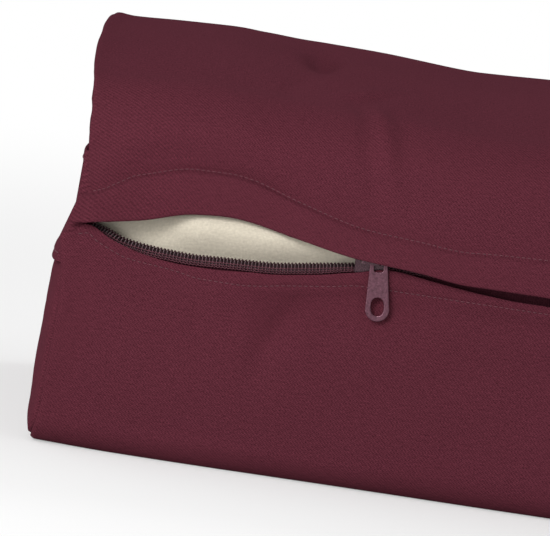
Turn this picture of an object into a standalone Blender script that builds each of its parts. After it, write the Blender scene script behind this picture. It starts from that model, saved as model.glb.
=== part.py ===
# Rectangular yoga bolster: a zipped cotton cover over a cotton-filled inner cushion.
# Metres. +X runs along the bolster, the zip side faces -Y and +Z is up.
# The origin is on the floor, under the middle of the bolster.
# Distances "from the left end" are measured from the outermost point of the left end panel.

import math

import bmesh
import bpy
import numpy as np
from mathutils import Matrix, Vector
from mathutils.bvhtree import BVHTree

# Cushion, outside sizes
LENGTH = 0.660  # over the bulged end panels, without the handles
WIDTH = 0.300  # from the flap to the back
HEIGHT = 0.152  # to the crown of the top
CORNER_LOW = 0.012
CORNER_TOP = 0.026
TOP_CROWN = 0.010
BACK_BULGE = 0.004
FRONT_TUCK = 0.003  # the front's lower corner lies this far behind the zip
UPPER_PROUD = 0.002  # the front's upper corner stands this far before the lower panel
END_BULGE = 0.006
END_PULL = 0.004  # how far the end seams draw the front and the back in
END_DROP = 0.0015  # how far the end seams draw the top down
END_LIFT = 0.0015  # how far the end seams lift the base
PULL_LENGTH = 0.060
END_SINK = 0.006  # how much less the left end panel stands out above the zip

# Cloth and clearances
FABRIC = 0.0008
LINER_FABRIC = 0.0006
CLEAR = 0.0003
SEAM_ALLOWANCE = 0.004
BATT_COUNT = 5
BATT_GAP = 0.0004
BATT_EASE = 0.0007  # between the batting and the liner

# Zip
CHAIN_DROP = 0.0647  # from the crown of the top down to the middle of the chain
TOOTH_PITCH = 0.00133
TOOTH_HEIGHT = 0.0012
TOOTH_MESH = 0.0010  # how deep the teeth of one coil reach past those of the other
COIL_BAND = 0.0032
END_SQUARE = 0.006  # within this length of its left end the coil is cut square
COIL_THICK = 0.0016
TAPE_THICK = 0.0005
TAPE_TUCK = 0.0009  # the tape's edge lies this far below the tips of the teeth
TAPE_FLAT = 0.0066  # from the tips to where the tape turns towards its seam
TAPE_SLOPE = 0.0050
TAPE_SEAM = 0.0030
TAPE_INSET = 0.0015  # between the end panel's seam allowance and the tape's end
STOP_LENGTH = 0.0020
STOP_INSET = 0.0002  # between the tape's left end and the top stops
BOTTOM_STOP_INSET = 0.0100  # between the tape's right end and the bottom stop
CHAIN_TO_STOP = 0.0003

# Slider
SLIDER_AT = 0.122  # from the left end, with the zip open as far as in the rest pose
SLIDER_LENGTH = 0.012
PLATE_THICK = 0.0011
FLANGE_THICK = 0.0007
PLATE_LEDGE = 0.00015  # the plates reach this far past the flanges
CROWN_SPAN = 0.0074  # over its two feet
CROWN_WIDTH = 0.0016
CROWN_THICK = 0.0010
CROWN_FOOT = 0.0014
TAB_THICK = 0.0012
TAB_STANDOFF = 0.0004  # between the tab and the cloth of the lower panel
TAB_LENGTH = 0.0243
TAB_TOP_WIDTH = 0.0064
TAB_RING_WIDTH = 0.0090
TAB_EYE_WIDTH = 0.0036
TAB_EYE_LENGTH = 0.0045
TAB_TOP_BAR = 0.0013
TAB_HOLE_WIDTH = 0.0050
TAB_HOLE_LENGTH = 0.0070
TAB_SWAY = 6.0  # degrees from plumb, towards the right end

# Mouth of the zip and the flap over it
HEM_WIDTH = 0.014
HEM_WIDER = 0.003  # added over the mouth
FLAP_CLEAR = 0.0009  # between the slider's crown and the flap
FLAP_FLARE = 0.0019  # the edge of the flap stands this far before its stitch line
FLAP_LAY = 0.0009  # what is left of that at the end seams
FLAP_SETTLE = 0.009  # how far from a seam the flap reaches its full stand
FLAP_DROP = 0.0033  # the flap's edge hangs this far below the middle of the chain
FLAP_RISE = 0.0120  # how much higher the edge is over the mouth
FLAP_RISE_LENGTH = 0.190  # from the left end to where the edge is level again
LIP_DROP = 0.0068  # the lower panel's folded edge below the middle of the chain
MOUTH_DIP = 0.0077  # how far the lower coil hangs below the middle of the chain
LIP_UNDER_TIPS = 0.0036
LIP_PEAK_GAP = 0.0013  # from the slider's bridge to the folded edge, which peaks beside it
LIP_SETTLE_LENGTH = 0.060  # how far past the throat the folded edge is level again

# Handles
HANDLE_WIDTH = 0.043
HANDLE_THICK = 0.0018
HANDLE_DROP = 0.002  # from where the top's rounded corners start down to the strap's upper edge
HANDLE_GAP = 0.0004  # how much looser the strap lies at its middle than at its ends
HANDLE_INSET = 0.003  # from the end panel's rim to the strap's end
HANDLE_PROBES = 5  # heights at which the strap is laid against the end panel

# Depths behind the lower panel's face, which the plates, coils and tape share
LIP_DEPTH = 2 * FABRIC
PLATE_FRONT = LIP_DEPTH + CLEAR
COIL_FRONT = PLATE_FRONT + PLATE_THICK + CLEAR
TAPE_FRONT = COIL_FRONT + COIL_THICK + CLEAR / 3
REAR_FRONT = TAPE_FRONT + TAPE_THICK + CLEAR
LINER_FRONT = REAR_FRONT + PLATE_THICK + CLEAR
TAB_BACK = -TAB_STANDOFF
CROWN_UNDER = TAB_BACK - TAB_THICK - CLEAR
CROWN_FRONT = CROWN_UNDER - CROWN_THICK
FLAP_STAND = -CROWN_FRONT + FLAP_CLEAR + 2 * FABRIC
FACE_Y = -WIDTH / 2 + FLAP_STAND

# Heights
CHAIN_Z = HEIGHT - CHAIN_DROP
SINK_TO = HEIGHT - TOP_CROWN - END_DROP - CORNER_TOP
SINK_FROM = (END_LIFT + CORNER_LOW + SINK_TO) / 2  # the left end panel sinks in from here up
HANDLE_LOW = SINK_TO - HANDLE_DROP - HANDLE_WIDTH

# Places along the bolster
LEFT_END = -LENGTH / 2
LEFT_SEAM = LEFT_END + END_BULGE
RIGHT_SEAM = LENGTH / 2 - END_BULGE
TAPE_LEFT = LEFT_SEAM + SEAM_ALLOWANCE + TAPE_INSET
TAPE_RIGHT = RIGHT_SEAM - SEAM_ALLOWANCE - TAPE_INSET
COIL_LEFT = TAPE_LEFT + STOP_INSET + STOP_LENGTH + CHAIN_TO_STOP
COIL_RIGHT = TAPE_RIGHT - BOTTOM_STOP_INSET - STOP_LENGTH - CHAIN_TO_STOP
SLIDER_X = LEFT_END + SLIDER_AT

# Shape of the mouth: share of the way from the coil's left end to the slider's throat,
# and share of the full dip or rise there
DIP_SHAPE = [(0.0, 0.16), (0.12, 0.62), (0.26, 0.90), (0.41, 1.0), (0.60, 0.87), (0.78, 0.60), (1.0, 0.195)]
RISE_SHAPE = [(0.0, 0.0), (0.09, 0.25), (0.18, 0.50), (0.28, 0.92), (0.35, 1.0), (0.49, 0.66),
              (0.61, 0.33), (0.74, 0.17), (0.84, 0.0), (1.0, 0.0)]

CORNER_STEPS = 3  # in each rounded corner of the top


def clear_scene():
    for thing in list(bpy.data.objects):
        bpy.data.objects.remove(thing, do_unlink=True)
    for group in list(bpy.data.collections):
        bpy.data.collections.remove(group)


def new_collection(name):
    group = bpy.data.collections.new(name)
    bpy.context.scene.collection.children.link(group)
    return group


def new_material(name, colour, roughness, metallic=0.0):
    material = bpy.data.materials.new(name)
    material.use_nodes = True
    shader = material.node_tree.nodes["Principled BSDF"]
    shader.inputs["Base Color"].default_value = (*colour, 1.0)
    shader.inputs["Roughness"].default_value = roughness
    shader.inputs["Metallic"].default_value = metallic
    return material


def smooth(t):
    t = min(max(t, 0.0), 1.0)
    return t * t * (3 - 2 * t)


def through(points, x):
    """The height at x of a smooth line through (x, height) points."""
    xs = [p[0] for p in points]
    zs = [p[1] for p in points]
    if x <= xs[0]:
        return zs[0]
    if x >= xs[-1]:
        return zs[-1]
    slopes = [(zs[i + 1] - zs[i]) / (xs[i + 1] - xs[i]) for i in range(len(xs) - 1)]
    tangents = [slopes[0]]
    for before, after in zip(slopes, slopes[1:]):
        tangents.append(0.0 if before * after <= 0 else 2 * before * after / (before + after))
    tangents.append(slopes[-1])
    i = max(k for k in range(len(xs) - 1) if xs[k] <= x)
    step = xs[i + 1] - xs[i]
    t = (x - xs[i]) / step
    return (
        zs[i] * (1 + 2 * t) * (1 - t) ** 2
        + zs[i + 1] * t * t * (3 - 2 * t)
        + tangents[i] * step * t * (1 - t) ** 2
        - tangents[i + 1] * step * t * t * (1 - t)
    )


def from_seam(x):
    """Distance to the nearer end seam."""
    return min(x - LEFT_SEAM, RIGHT_SEAM - x)


def end_ease(x):
    """1 at an end seam, falling to 0 where the seam no longer draws the cushion in."""
    return max(0.0, 1 - from_seam(x) / PULL_LENGTH) ** 2


def flap_ease(x):
    """0 at an end seam, 1 where the flap stands off enough for the slider."""
    return smooth(from_seam(x) / FLAP_SETTLE)


# Heights of the zip's edges along the bolster

THROAT_X = SLIDER_X - SLIDER_LENGTH / 2


def mouth_share(x):
    return (x - COIL_LEFT) / (THROAT_X - COIL_LEFT)


def tip_offset(x, opening, shape):
    """How far a coil's tips lie from the chain's middle: negative where the two halves mesh."""
    if x <= THROAT_X:
        return opening * through(shape, mouth_share(x))
    start = opening * shape[-1][1]
    narrow = [(0.0, start), (0.21, 0.77 * start), (0.38, 0.2 * start), (0.54, -TOOTH_MESH / 2)]
    return through(narrow, (x - THROAT_X) / SLIDER_LENGTH)


def flap_edge_z(x):
    return CHAIN_Z - FLAP_DROP + FLAP_RISE * through(RISE_SHAPE, (x - LEFT_END) / FLAP_RISE_LENGTH)


def hem_width(x):
    return HEM_WIDTH + HEM_WIDER * through(RISE_SHAPE, (x - LEFT_END) / FLAP_RISE_LENGTH)


def lower_tips_z(x):
    return CHAIN_Z - tip_offset(x, MOUTH_DIP, DIP_SHAPE)


def upper_tips_z(x):
    """Over the mouth the upper coil hides just behind the flap's edge."""
    if x >= THROAT_X:
        return CHAIN_Z + tip_offset(x, MOUTH_DIP, DIP_SHAPE)
    behind_flap = flap_edge_z(x) + CLEAR - CHAIN_Z
    at_throat = MOUTH_DIP * DIP_SHAPE[-1][1]
    joined = smooth((mouth_share(x) - 0.80) / 0.20)
    return CHAIN_Z + max(behind_flap, at_throat) * (1 - joined) + at_throat * joined


def lip_z(x):
    """The folded top edge of the lower panel."""
    if x <= THROAT_X:
        under_coil = lower_tips_z(x) - LIP_UNDER_TIPS
        lowest_near_seam = CHAIN_Z - slider_half_width(-0.5) - CLEAR
        return min(under_coil, lowest_near_seam) if from_seam(x) < PULL_LENGTH else under_coil
    start = lower_tips_z(THROAT_X) - LIP_UNDER_TIPS
    peak = CHAIN_Z - CROWN_WIDTH / 2 - LIP_PEAK_GAP
    level = CHAIN_Z - LIP_DROP
    line = [
        (0.0, start),
        (0.23, peak),
        (0.48, 0.65 * peak + 0.35 * level),
        (0.72, 0.30 * peak + 0.70 * level),
        (1.0, level),
    ]
    return through(line, (x - THROAT_X) / LIP_SETTLE_LENGTH)


# Slider widths: share of the slider's length from its middle, and the channel's half width there

def channel_half_width(share):
    x = SLIDER_X + share * SLIDER_LENGTH
    return tip_offset(x, MOUTH_DIP, DIP_SHAPE) + COIL_BAND + CLEAR


def slider_half_width(share):
    return channel_half_width(share) + FLANGE_THICK


def arc(centre_y, centre_z, radius, start, end, steps):
    """Points of a corner, angles in degrees from +Y towards +Z."""
    angles = [math.radians(start + (end - start) * i / steps) for i in range(steps + 1)]
    return [(centre_y + radius * math.cos(a), centre_z + radius * math.sin(a)) for a in angles]


def body_corners(x, inset, front_low, front_high, top_mids=3):
    """From the front's lower corner round the base, back and top to the front's upper corner."""
    pull = END_PULL * end_ease(x)
    low = END_LIFT * end_ease(x) + inset
    high = HEIGHT - TOP_CROWN - END_DROP * end_ease(x) - inset
    back = WIDTH / 2 - BACK_BULGE - pull - inset
    front_low += pull
    front_high += pull
    r_low = CORNER_LOW - inset
    r_top = CORNER_TOP - inset
    points = arc(front_low + r_low, low + r_low, r_low, 180, 270, 2)
    points.append(((front_low + back) / 2, low))
    points += arc(back - r_low, low + r_low, r_low, 270, 360, 2)
    for i in range(1, 4):
        u = i / 4
        points.append((back + BACK_BULGE * 4 * u * (1 - u), low + r_low + (high - r_top - low - r_low) * u))
    points += arc(back - r_top, high - r_top, r_top, 0, 90, CORNER_STEPS)
    for i in range(top_mids):
        u = (i + 1) / (top_mids + 1)
        y = back - r_top + (front_high + r_top - back + r_top) * u
        points.append((y, high + TOP_CROWN * 4 * u * (1 - u)))
    points += arc(front_high + r_top, high - r_top, r_top, 90, 180, CORNER_STEPS)
    return points


def stitch_y(x):
    """Outer face of the flap at its stitch line."""
    stand = FLAP_STAND - FLAP_FLARE
    return FACE_Y - (FLAP_LAY + (stand - FLAP_LAY) * flap_ease(x))


def flap_edge_y(x):
    return FACE_Y - (FLAP_LAY + (FLAP_STAND - FLAP_LAY) * flap_ease(x))


def stitch_z(x):
    return flap_edge_z(x) + hem_width(x)


def upper_front_y(x, z):
    """Outer face of the cloth between the stitch line and the top's front corner."""
    corner_y, corner_z = body_corners(x, 0.0, 0.0, FACE_Y - UPPER_PROUD)[-1]
    share = (z - stitch_z(x)) / (corner_z - stitch_z(x))
    return stitch_y(x) + (corner_y - stitch_y(x)) * share


def cover_profile(x):
    """Outer face of the cover from the lower lip round to the flap's edge, and its layers."""
    lip = (FACE_Y, lip_z(x))
    corners = body_corners(x, 0.0, FACE_Y + FRONT_TUCK, FACE_Y - UPPER_PROUD)
    lower = []
    for z in (SINK_FROM, (SINK_FROM + corners[0][1]) / 2):
        u = (lip[1] - z) / (lip[1] - corners[0][1])
        lower.append((lip[0] + (corners[0][0] - lip[0]) * u * u, z))
    stitch = (stitch_y(x), stitch_z(x))
    edge = (flap_edge_y(x), flap_edge_z(x))
    above = ((corners[-1][0] + stitch[0]) / 2, (corners[-1][1] + stitch[1]) / 2)
    points = [lip] + lower + corners + [above, stitch, edge]
    layers = [2] + [1] * (len(points) - 3) + [2, 2]
    layers[1] = 1.4
    return points, layers


def inset_loop(points, distances):
    """The loop moved inwards, point by point, square to its neighbours."""
    moved = []
    count = len(points)
    for i, (y, z) in enumerate(points):
        before = points[i - 1]
        after = points[(i + 1) % count]
        dy, dz = after[0] - before[0], after[1] - before[1]
        size = math.hypot(dy, dz)
        moved.append((y - distances[i] * dz / size, z + distances[i] * dy / size))
    return moved


# Mesh helpers

def loft(name, rows, close_rows=False, flip=False):
    """A sheet through rows of points; each row may close on itself or shrink to one point."""
    bm = bmesh.new()
    verts = [[bm.verts.new(point) for point in row] for row in rows]
    width = len(rows[0])
    for a, b in zip(verts, verts[1:]):
        for j in range(width if close_rows else width - 1):
            k = (j + 1) % width
            bm.faces.new((a[j], b[j], b[k], a[k]))
    bmesh.ops.remove_doubles(bm, verts=bm.verts, dist=0.0000005)
    if flip:
        bmesh.ops.reverse_faces(bm, faces=bm.faces)
    mesh = bpy.data.meshes.new(name)
    bm.to_mesh(mesh)
    bm.free()
    return mesh


def add_object(name, data, material, group, smooth_angle=40):
    thing = bpy.data.objects.new(name, data)
    group.objects.link(thing)
    if material:
        data.materials.append(material)
    if isinstance(data, bpy.types.Mesh):
        data.shade_smooth()
        data.set_sharp_from_angle(angle=math.radians(smooth_angle))
    return thing


def thicken(thing, thickness, group_name=None):
    modifier = thing.modifiers.new("thickness", "SOLIDIFY")
    modifier.thickness = thickness
    modifier.offset = -1
    modifier.use_even_offset = True
    if group_name:
        modifier.vertex_group = group_name
    return modifier


def flat_shape(name, outlines, thickness, group, bevel=0.0, resolution=0):
    """A plate from closed outlines in its own XY plane; the first is the rim, the rest are holes."""
    curve = bpy.data.curves.new(name, "CURVE")
    curve.dimensions = "2D"
    curve.fill_mode = "BOTH"
    curve.extrude = thickness / 2 - bevel
    curve.bevel_depth = bevel
    curve.offset = -bevel
    curve.bevel_resolution = resolution
    for outline in outlines:
        spline = curve.splines.new("POLY")
        spline.points.add(len(outline) - 1)
        for point, (x, y) in zip(spline.points, outline):
            point.co = (x, y, 0.0, 1.0)
        spline.use_cyclic_u = True
    thing = bpy.data.objects.new(name, curve)
    group.objects.link(thing)
    return thing


def as_mesh(thing, material, group):
    """The same shape as a mesh with its caps welded."""
    bpy.context.view_layer.update()
    evaluated = thing.evaluated_get(bpy.context.evaluated_depsgraph_get())
    mesh = bpy.data.meshes.new_from_object(evaluated)
    bm = bmesh.new()
    bm.from_mesh(mesh)
    bmesh.ops.remove_doubles(bm, verts=bm.verts, dist=0.000002)
    bmesh.ops.recalc_face_normals(bm, faces=bm.faces)
    bm.to_mesh(mesh)
    bm.free()
    mesh.transform(thing.matrix_world)
    name = thing.name
    bpy.data.objects.remove(thing, do_unlink=True)
    mesh.materials.clear()
    return add_object(name, mesh, material, group)


def boolean(thing, other, operation):
    modifier = thing.modifiers.new(operation.lower() + "_" + other.name, "BOOLEAN")
    modifier.operation = operation
    modifier.object = other
    modifier.solver = "EXACT"
    other.hide_render = True
    other.display_type = "WIRE"


def box(name, low, high, group):
    bm = bmesh.new()
    bmesh.ops.create_cube(bm, size=1.0)
    size = [h - l for l, h in zip(low, high)]
    centre = [(h + l) / 2 for l, h in zip(low, high)]
    bmesh.ops.scale(bm, vec=size, verts=bm.verts)
    bmesh.ops.translate(bm, vec=centre, verts=bm.verts)
    mesh = bpy.data.meshes.new(name)
    bm.to_mesh(mesh)
    bm.free()
    return add_object(name, mesh, None, group)


FACING_FRONT = Matrix.Rotation(math.radians(90), 4, "X")  # a flat shape's XY plane becomes XZ


def upright_plate(name, outlines, front, back, group, material=None, bevel=0.0):
    """A flat shape with outlines in X and Z, between two depths behind the lower panel's face."""
    plate = flat_shape(name, outlines, back - front, group, bevel)
    middle = FACE_Y + (front + back) / 2
    plate.matrix_world = Matrix.Translation((0.0, middle, 0.0)) @ FACING_FRONT
    return as_mesh(plate, material, group)


# Cover

def cover_stations():
    mouth_end = LEFT_END + FLAP_RISE_LENGTH
    near = [LEFT_SEAM, LEFT_SEAM + FLAP_SETTLE / 2, LEFT_SEAM + FLAP_SETTLE]
    mouth = list(np.linspace(near[-1], THROAT_X, 9)[1:])
    beside = list(np.linspace(THROAT_X, mouth_end, 5)[1:])
    rest = list(np.linspace(mouth_end, RIGHT_SEAM - PULL_LENGTH, 4)[1:])
    end = [RIGHT_SEAM - gap for gap in (PULL_LENGTH / 3, FLAP_SETTLE, FLAP_SETTLE / 2, 0.0)]
    return near + mouth + beside + rest + end


def make_cover_body(material, group):
    rows = []
    weights = []
    for x in cover_stations():
        profile, layers = cover_profile(x)
        rows.append([(x, y, z) for y, z in profile])
        weights += [count / 2 for count in layers]
    cover = add_object("cover_body", loft("cover_body", rows, flip=True), material, group)
    layer_group = cover.vertex_groups.new(name="layers")
    for index, weight in enumerate(weights):
        layer_group.add([index], weight, "REPLACE")
    thicken(cover, 2 * FABRIC, "layers")
    return cover


def dome(share, bulge):
    """How far a pillow end stands out, share 1 at its rim and 0 at its middle."""
    return bulge * math.sqrt(max(0.0, 1 - share**6))


def sink(side, z):
    """How much less the left end stands out at this height; the right end is full all over."""
    share = min(max((z - SINK_FROM) / (SINK_TO - SINK_FROM), 0.0), 1.0)
    return END_SINK * share if side < 0 else 0.0


def dome_rows(loop, seam_x, side, bulge):
    """Rings from the rim to the middle of a shallow dome, side -1 for the left end or 1."""
    centre_y = (min(y for y, z in loop) + max(y for y, z in loop)) / 2
    centre_z = (min(z for y, z in loop) + max(z for y, z in loop)) / 2
    rows = []
    for share in END_SHARES:
        row = []
        for y, z in loop:
            ring_y = centre_y + (y - centre_y) * share
            ring_z = centre_z + (z - centre_z) * share
            row.append((seam_x + side * dome(share, bulge - sink(side, ring_z)), ring_y, ring_z))
        rows.append(row)
    return rows


END_SHARES = (1.0, 0.95, 0.80, 0.45, 0.0)  # rings of a domed end


def make_cover_end(side, material, group):
    seam = RIGHT_SEAM if side > 0 else LEFT_SEAM
    name = "cover_end_right" if side > 0 else "cover_end_left"
    loops = []
    for x in (seam, seam - side * SEAM_ALLOWANCE):
        points, layers = cover_profile(x)
        loops.append(inset_loop(points, [count * FABRIC + CLEAR for count in layers]))
    allowance = [(seam - side * SEAM_ALLOWANCE, y, z) for y, z in loops[1]]
    rows = [allowance] + dome_rows(loops[0], seam, side, END_BULGE)
    panel = add_object(name, loft(name, rows, close_rows=True, flip=side > 0), material, group)
    thicken(panel, FABRIC)
    return panel


def make_handle(side, panel, material, group):
    """A flat strap that lies over an end panel and leans with it."""
    name = "handle_right" if side > 0 else "handle_left"
    tree = BVHTree.FromPolygons(
        [vertex.co for vertex in panel.data.vertices],
        [polygon.vertices for polygon in panel.data.polygons],
    )
    front = FACE_Y + FABRIC + CLEAR + HANDLE_INSET
    back = WIDTH / 2 - BACK_BULGE - END_PULL - FABRIC - CLEAR - HANDLE_INSET
    centre = (front + back) / 2
    half = (back - front) / 2
    near_ends = (1.0, 0.98, 0.955, 0.93, 0.89, 0.85, 0.80, 0.74, 0.62, 0.44, 0.22)
    shares = [-share for share in near_ends] + [0.0] + list(reversed(near_ends))
    rows = []
    for share in shares:
        y = centre + half * share
        hits = []
        for i in range(HANDLE_PROBES):
            z = HANDLE_LOW + HANDLE_WIDTH * i / (HANDLE_PROBES - 1)
            hit = tree.ray_cast(Vector((side * LENGTH, y, z)), Vector((-side, 0, 0)))[0]
            hits.append(side * hit.x)
        slope = (hits[-1] - hits[0]) / (HANDLE_PROBES - 1)
        bulge = max(hit - hits[0] - slope * i for i, hit in enumerate(hits))
        stand = bulge + 2 * CLEAR + HANDLE_GAP * (1 - share**2)
        lower = (side * (hits[0] + stand), y, HANDLE_LOW)
        upper = (side * (hits[-1] + stand), y, HANDLE_LOW + HANDLE_WIDTH)
        rows.append([lower, upper])
    strap = add_object(name, loft(name, rows, flip=side < 0), material, group)
    thicken(strap, HANDLE_THICK).offset = 1
    return strap


# Inner cushion

LINER_INSET = FABRIC + CLEAR + 0.0001
LINER_SEAM_STEP = SEAM_ALLOWANCE + 0.0007
LINER_BULGE = END_BULGE + LINER_SEAM_STEP - FABRIC - 0.0004


def liner_profile(x, inset):
    """A closed loop; its front is flat behind the zip."""
    front = FACE_Y + LINER_FRONT + inset
    corners = body_corners(x, LINER_INSET + inset, front, front)
    return corners + [(front, (corners[-1][1] + SINK_FROM) / 2), (front, SINK_FROM)]


def liner_stations(step):
    left = [LEFT_SEAM + step, LEFT_SEAM + PULL_LENGTH / 3]
    inner = list(np.linspace(LEFT_SEAM + PULL_LENGTH, RIGHT_SEAM - PULL_LENGTH, 3))
    return left + inner + [RIGHT_SEAM - PULL_LENGTH / 3, RIGHT_SEAM - step]


def make_liner_body(material, group):
    rows = []
    for x in liner_stations(LINER_SEAM_STEP):
        rows.append([(x, y, z) for y, z in liner_profile(x, 0.0)])
    mesh = loft("liner_body", rows, close_rows=True, flip=True)
    liner = add_object("liner_body", mesh, material, group)
    thicken(liner, LINER_FABRIC)
    return liner


def make_liner_end(side, material, group):
    seam = RIGHT_SEAM - LINER_SEAM_STEP if side > 0 else LEFT_SEAM + LINER_SEAM_STEP
    name = "liner_end_right" if side > 0 else "liner_end_left"
    profile = liner_profile(seam, 0.0)
    loop = inset_loop(profile, [LINER_FABRIC + CLEAR] * len(profile))
    rows = dome_rows(loop, seam, side, LINER_BULGE)
    panel = add_object(name, loft(name, rows, close_rows=True, flip=side > 0), material, group)
    thicken(panel, LINER_FABRIC)
    return panel


def make_batts(material, group, cutters):
    """Layers of batting cut from the room inside the liner."""
    inset = 2 * LINER_FABRIC + CLEAR + BATT_EASE
    step = LINER_SEAM_STEP + LINER_FABRIC + BATT_EASE
    stations = liner_stations(step)
    left = dome_rows(liner_profile(stations[0], inset), stations[0], -1, LINER_BULGE)
    right = dome_rows(liner_profile(stations[-1], inset), stations[-1], 1, LINER_BULGE)
    rows = list(reversed(left))
    for x in stations[1:-1]:
        rows.append([(x, y, z) for y, z in liner_profile(x, inset)])
    rows += right
    form = add_object("filling_form", loft("filling_form", rows, True, True), None, cutters)
    form.hide_render = True
    form.display_type = "WIRE"
    low = LINER_INSET + inset
    high = HEIGHT - LINER_INSET - inset
    thick = (high - low - BATT_GAP * (BATT_COUNT - 1)) / BATT_COUNT
    for i in range(BATT_COUNT):
        base = low + i * (thick + BATT_GAP)
        under = base if i else base - thick
        over = base + thick if i < BATT_COUNT - 1 else base + 2 * thick
        slab = box(f"batt_{i + 1}", (-LENGTH, -WIDTH, under), (LENGTH, WIDTH, over), group)
        slab.data.materials.append(material)
        boolean(slab, form, "INTERSECT")


# Zip

def zip_stations():
    mouth = list(np.linspace(TAPE_LEFT, THROAT_X, 15))
    slider = list(np.linspace(THROAT_X, THROAT_X + 0.54 * SLIDER_LENGTH, 4)[1:])
    beside = list(np.linspace(slider[-1], LEFT_END + FLAP_RISE_LENGTH, 5)[1:])
    return mouth + slider + beside + [TAPE_RIGHT - FLAP_SETTLE, TAPE_RIGHT]


def make_tape(side, material, group):
    """One woven tape, side -1 below the chain and 1 above it: beside the coil, then to its seam."""
    name = "zip_tape_upper" if side > 0 else "zip_tape_lower"
    depth = FACE_Y + TAPE_FRONT
    rows = []
    for x in zip_stations():
        tips = upper_tips_z(x) if side > 0 else lower_tips_z(x)
        flat_end = tips + side * TAPE_FLAT
        if side > 0:
            seam_z = max(stitch_z(x), flat_end + TAPE_SLOPE / 2)
            seam_y = stitch_y(x) + LIP_DEPTH + 2 * CLEAR
            end_y = upper_front_y(x, seam_z + TAPE_SEAM) + LIP_DEPTH + 2 * CLEAR
        else:
            seam_z = min(lip_z(x), flat_end) - TAPE_SLOPE
            seam_y = FACE_Y + LIP_DEPTH + CLEAR
            end_y = seam_y
        rows.append([
            (x, depth, tips + side * TAPE_TUCK),
            (x, depth, flat_end),
            (x, seam_y, seam_z),
            (x, end_y, seam_z + side * TAPE_SEAM),
        ])
    tape = add_object(name, loft(name, rows, flip=side < 0), material, group)
    thicken(tape, TAPE_THICK)
    return tape


def coil_line(side):
    """The line of a coil's tips as points with their distance along it and their side direction."""
    xs = np.append(np.arange(COIL_LEFT, SLIDER_X + SLIDER_LENGTH, 0.0005), COIL_RIGHT)
    zs = np.array([upper_tips_z(x) if side > 0 else lower_tips_z(x) for x in xs])
    along = np.concatenate([[0.0], np.cumsum(np.hypot(np.diff(xs), np.diff(zs)))])
    return xs, zs, along


def make_coil(side, material, group):
    """A comb of teeth on a band. The two coils are half a pitch apart, so that they mesh."""
    name = "zip_coil_upper" if side > 0 else "zip_coil_lower"
    xs, zs, along = coil_line(side)

    def at(distance, behind):
        """The point this far along the line and this far behind the tips."""
        x = np.interp(distance, along, xs)
        z = np.interp(distance, along, zs)
        dx = np.interp(distance + 0.0005, along, xs) - np.interp(distance - 0.0005, along, xs)
        dz = np.interp(distance + 0.0005, along, zs) - np.interp(distance - 0.0005, along, zs)
        lean = side * behind * dz / math.hypot(dx, dz) * smooth(distance / END_SQUARE)
        return (float(x - lean), float(z + side * behind * dx / math.hypot(dx, dz)))

    meshed = float(np.interp(SLIDER_X + SLIDER_LENGTH / 2, xs, along))
    phase = 0.5 if side > 0 else 0.0
    first = math.ceil(-meshed / TOOTH_PITCH - phase) + 1
    last = math.floor((along[-1] - meshed) / TOOTH_PITCH - phase) - 1
    outline = [at(0.0, COIL_BAND), at(0.0, TOOTH_HEIGHT)]
    for i in range(first, last + 1):
        tip = meshed + (i + phase) * TOOTH_PITCH
        outline.append(at(tip - TOOTH_PITCH / 2, TOOTH_HEIGHT))
        outline.append(at(tip, 0.0))
    outline.append(at(meshed + (last + 0.5 + phase) * TOOTH_PITCH, TOOTH_HEIGHT))
    outline.append(at(along[-1], TOOTH_HEIGHT))
    outline.append(at(along[-1], COIL_BAND))
    outline += [at(s, COIL_BAND) for s in np.linspace(meshed, 0.0, 24)[:-1]]
    return upright_plate(name, [outline], COIL_FRONT, COIL_FRONT + COIL_THICK, group, material)


def make_stop(name, x, z_low, z_high, slots, material, group, cutters):
    """A clip pressed over the edge of the tape, open where the tape runs through it."""
    front = FACE_Y + COIL_FRONT
    back = FACE_Y + REAR_FRONT + PLATE_THICK
    stop = box(name, (x, front, z_low), (x + STOP_LENGTH, back, z_high), group)
    stop.data.materials.append(material)
    for number, (low, high) in enumerate(slots):
        slot = box(
            f"{name}_slot_{number}",
            (x - STOP_LENGTH, FACE_Y + TAPE_FRONT - CLEAR, low),
            (x + 2 * STOP_LENGTH, FACE_Y + TAPE_FRONT + TAPE_THICK + CLEAR, high),
            cutters,
        )
        boolean(stop, slot, "DIFFERENCE")
    return stop


def make_stops(material, group, cutters):
    x = TAPE_LEFT + STOP_INSET
    cheek = 0.0011  # what the clip keeps beyond the tape's edge
    grip = 0.0026
    for side, name, tips_z in ((-1, "zip_top_stop_lower", lower_tips_z), (1, "zip_top_stop_upper", upper_tips_z)):
        at_ends = [tips_z(x), tips_z(x + STOP_LENGTH)]
        edges = [tips + side * TAPE_TUCK for tips in at_ends]
        inner = min(edges) if side > 0 else max(edges)
        near = inner - side * (cheek - CLEAR)
        far = inner + side * grip
        open_end = far + side * grip
        z_low, z_high = sorted((near, far))
        slot = tuple(sorted((inner - side * CLEAR, open_end)))
        make_stop(name, x, z_low, z_high, [slot], material, group, cutters)
    x = COIL_RIGHT + CHAIN_TO_STOP
    half = TOOTH_MESH / 2 + grip
    edge = TAPE_TUCK - TOOTH_MESH / 2
    slots = [(CHAIN_Z - 2 * half, CHAIN_Z - edge + CLEAR), (CHAIN_Z + edge - CLEAR, CHAIN_Z + 2 * half)]
    make_stop("zip_bottom_stop", x, CHAIN_Z - half, CHAIN_Z + half, slots, material, group, cutters)


def slider_outline(half_width):
    """The plan of a slider plate: wide and rounded at the throat, narrow behind."""
    shares = (-0.50, -0.42, -0.29, -0.12, 0.04, 0.42, 0.50)
    taper = {-0.50: 0.83, 0.50: 0.86}
    upper = []
    for share in shares:
        half = half_width(share) * taper.get(share, 1.0)
        upper.append((SLIDER_X + share * SLIDER_LENGTH, CHAIN_Z + half))
    lower = [(x, 2 * CHAIN_Z - z) for x, z in reversed(upper)]
    return upper + lower


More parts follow.
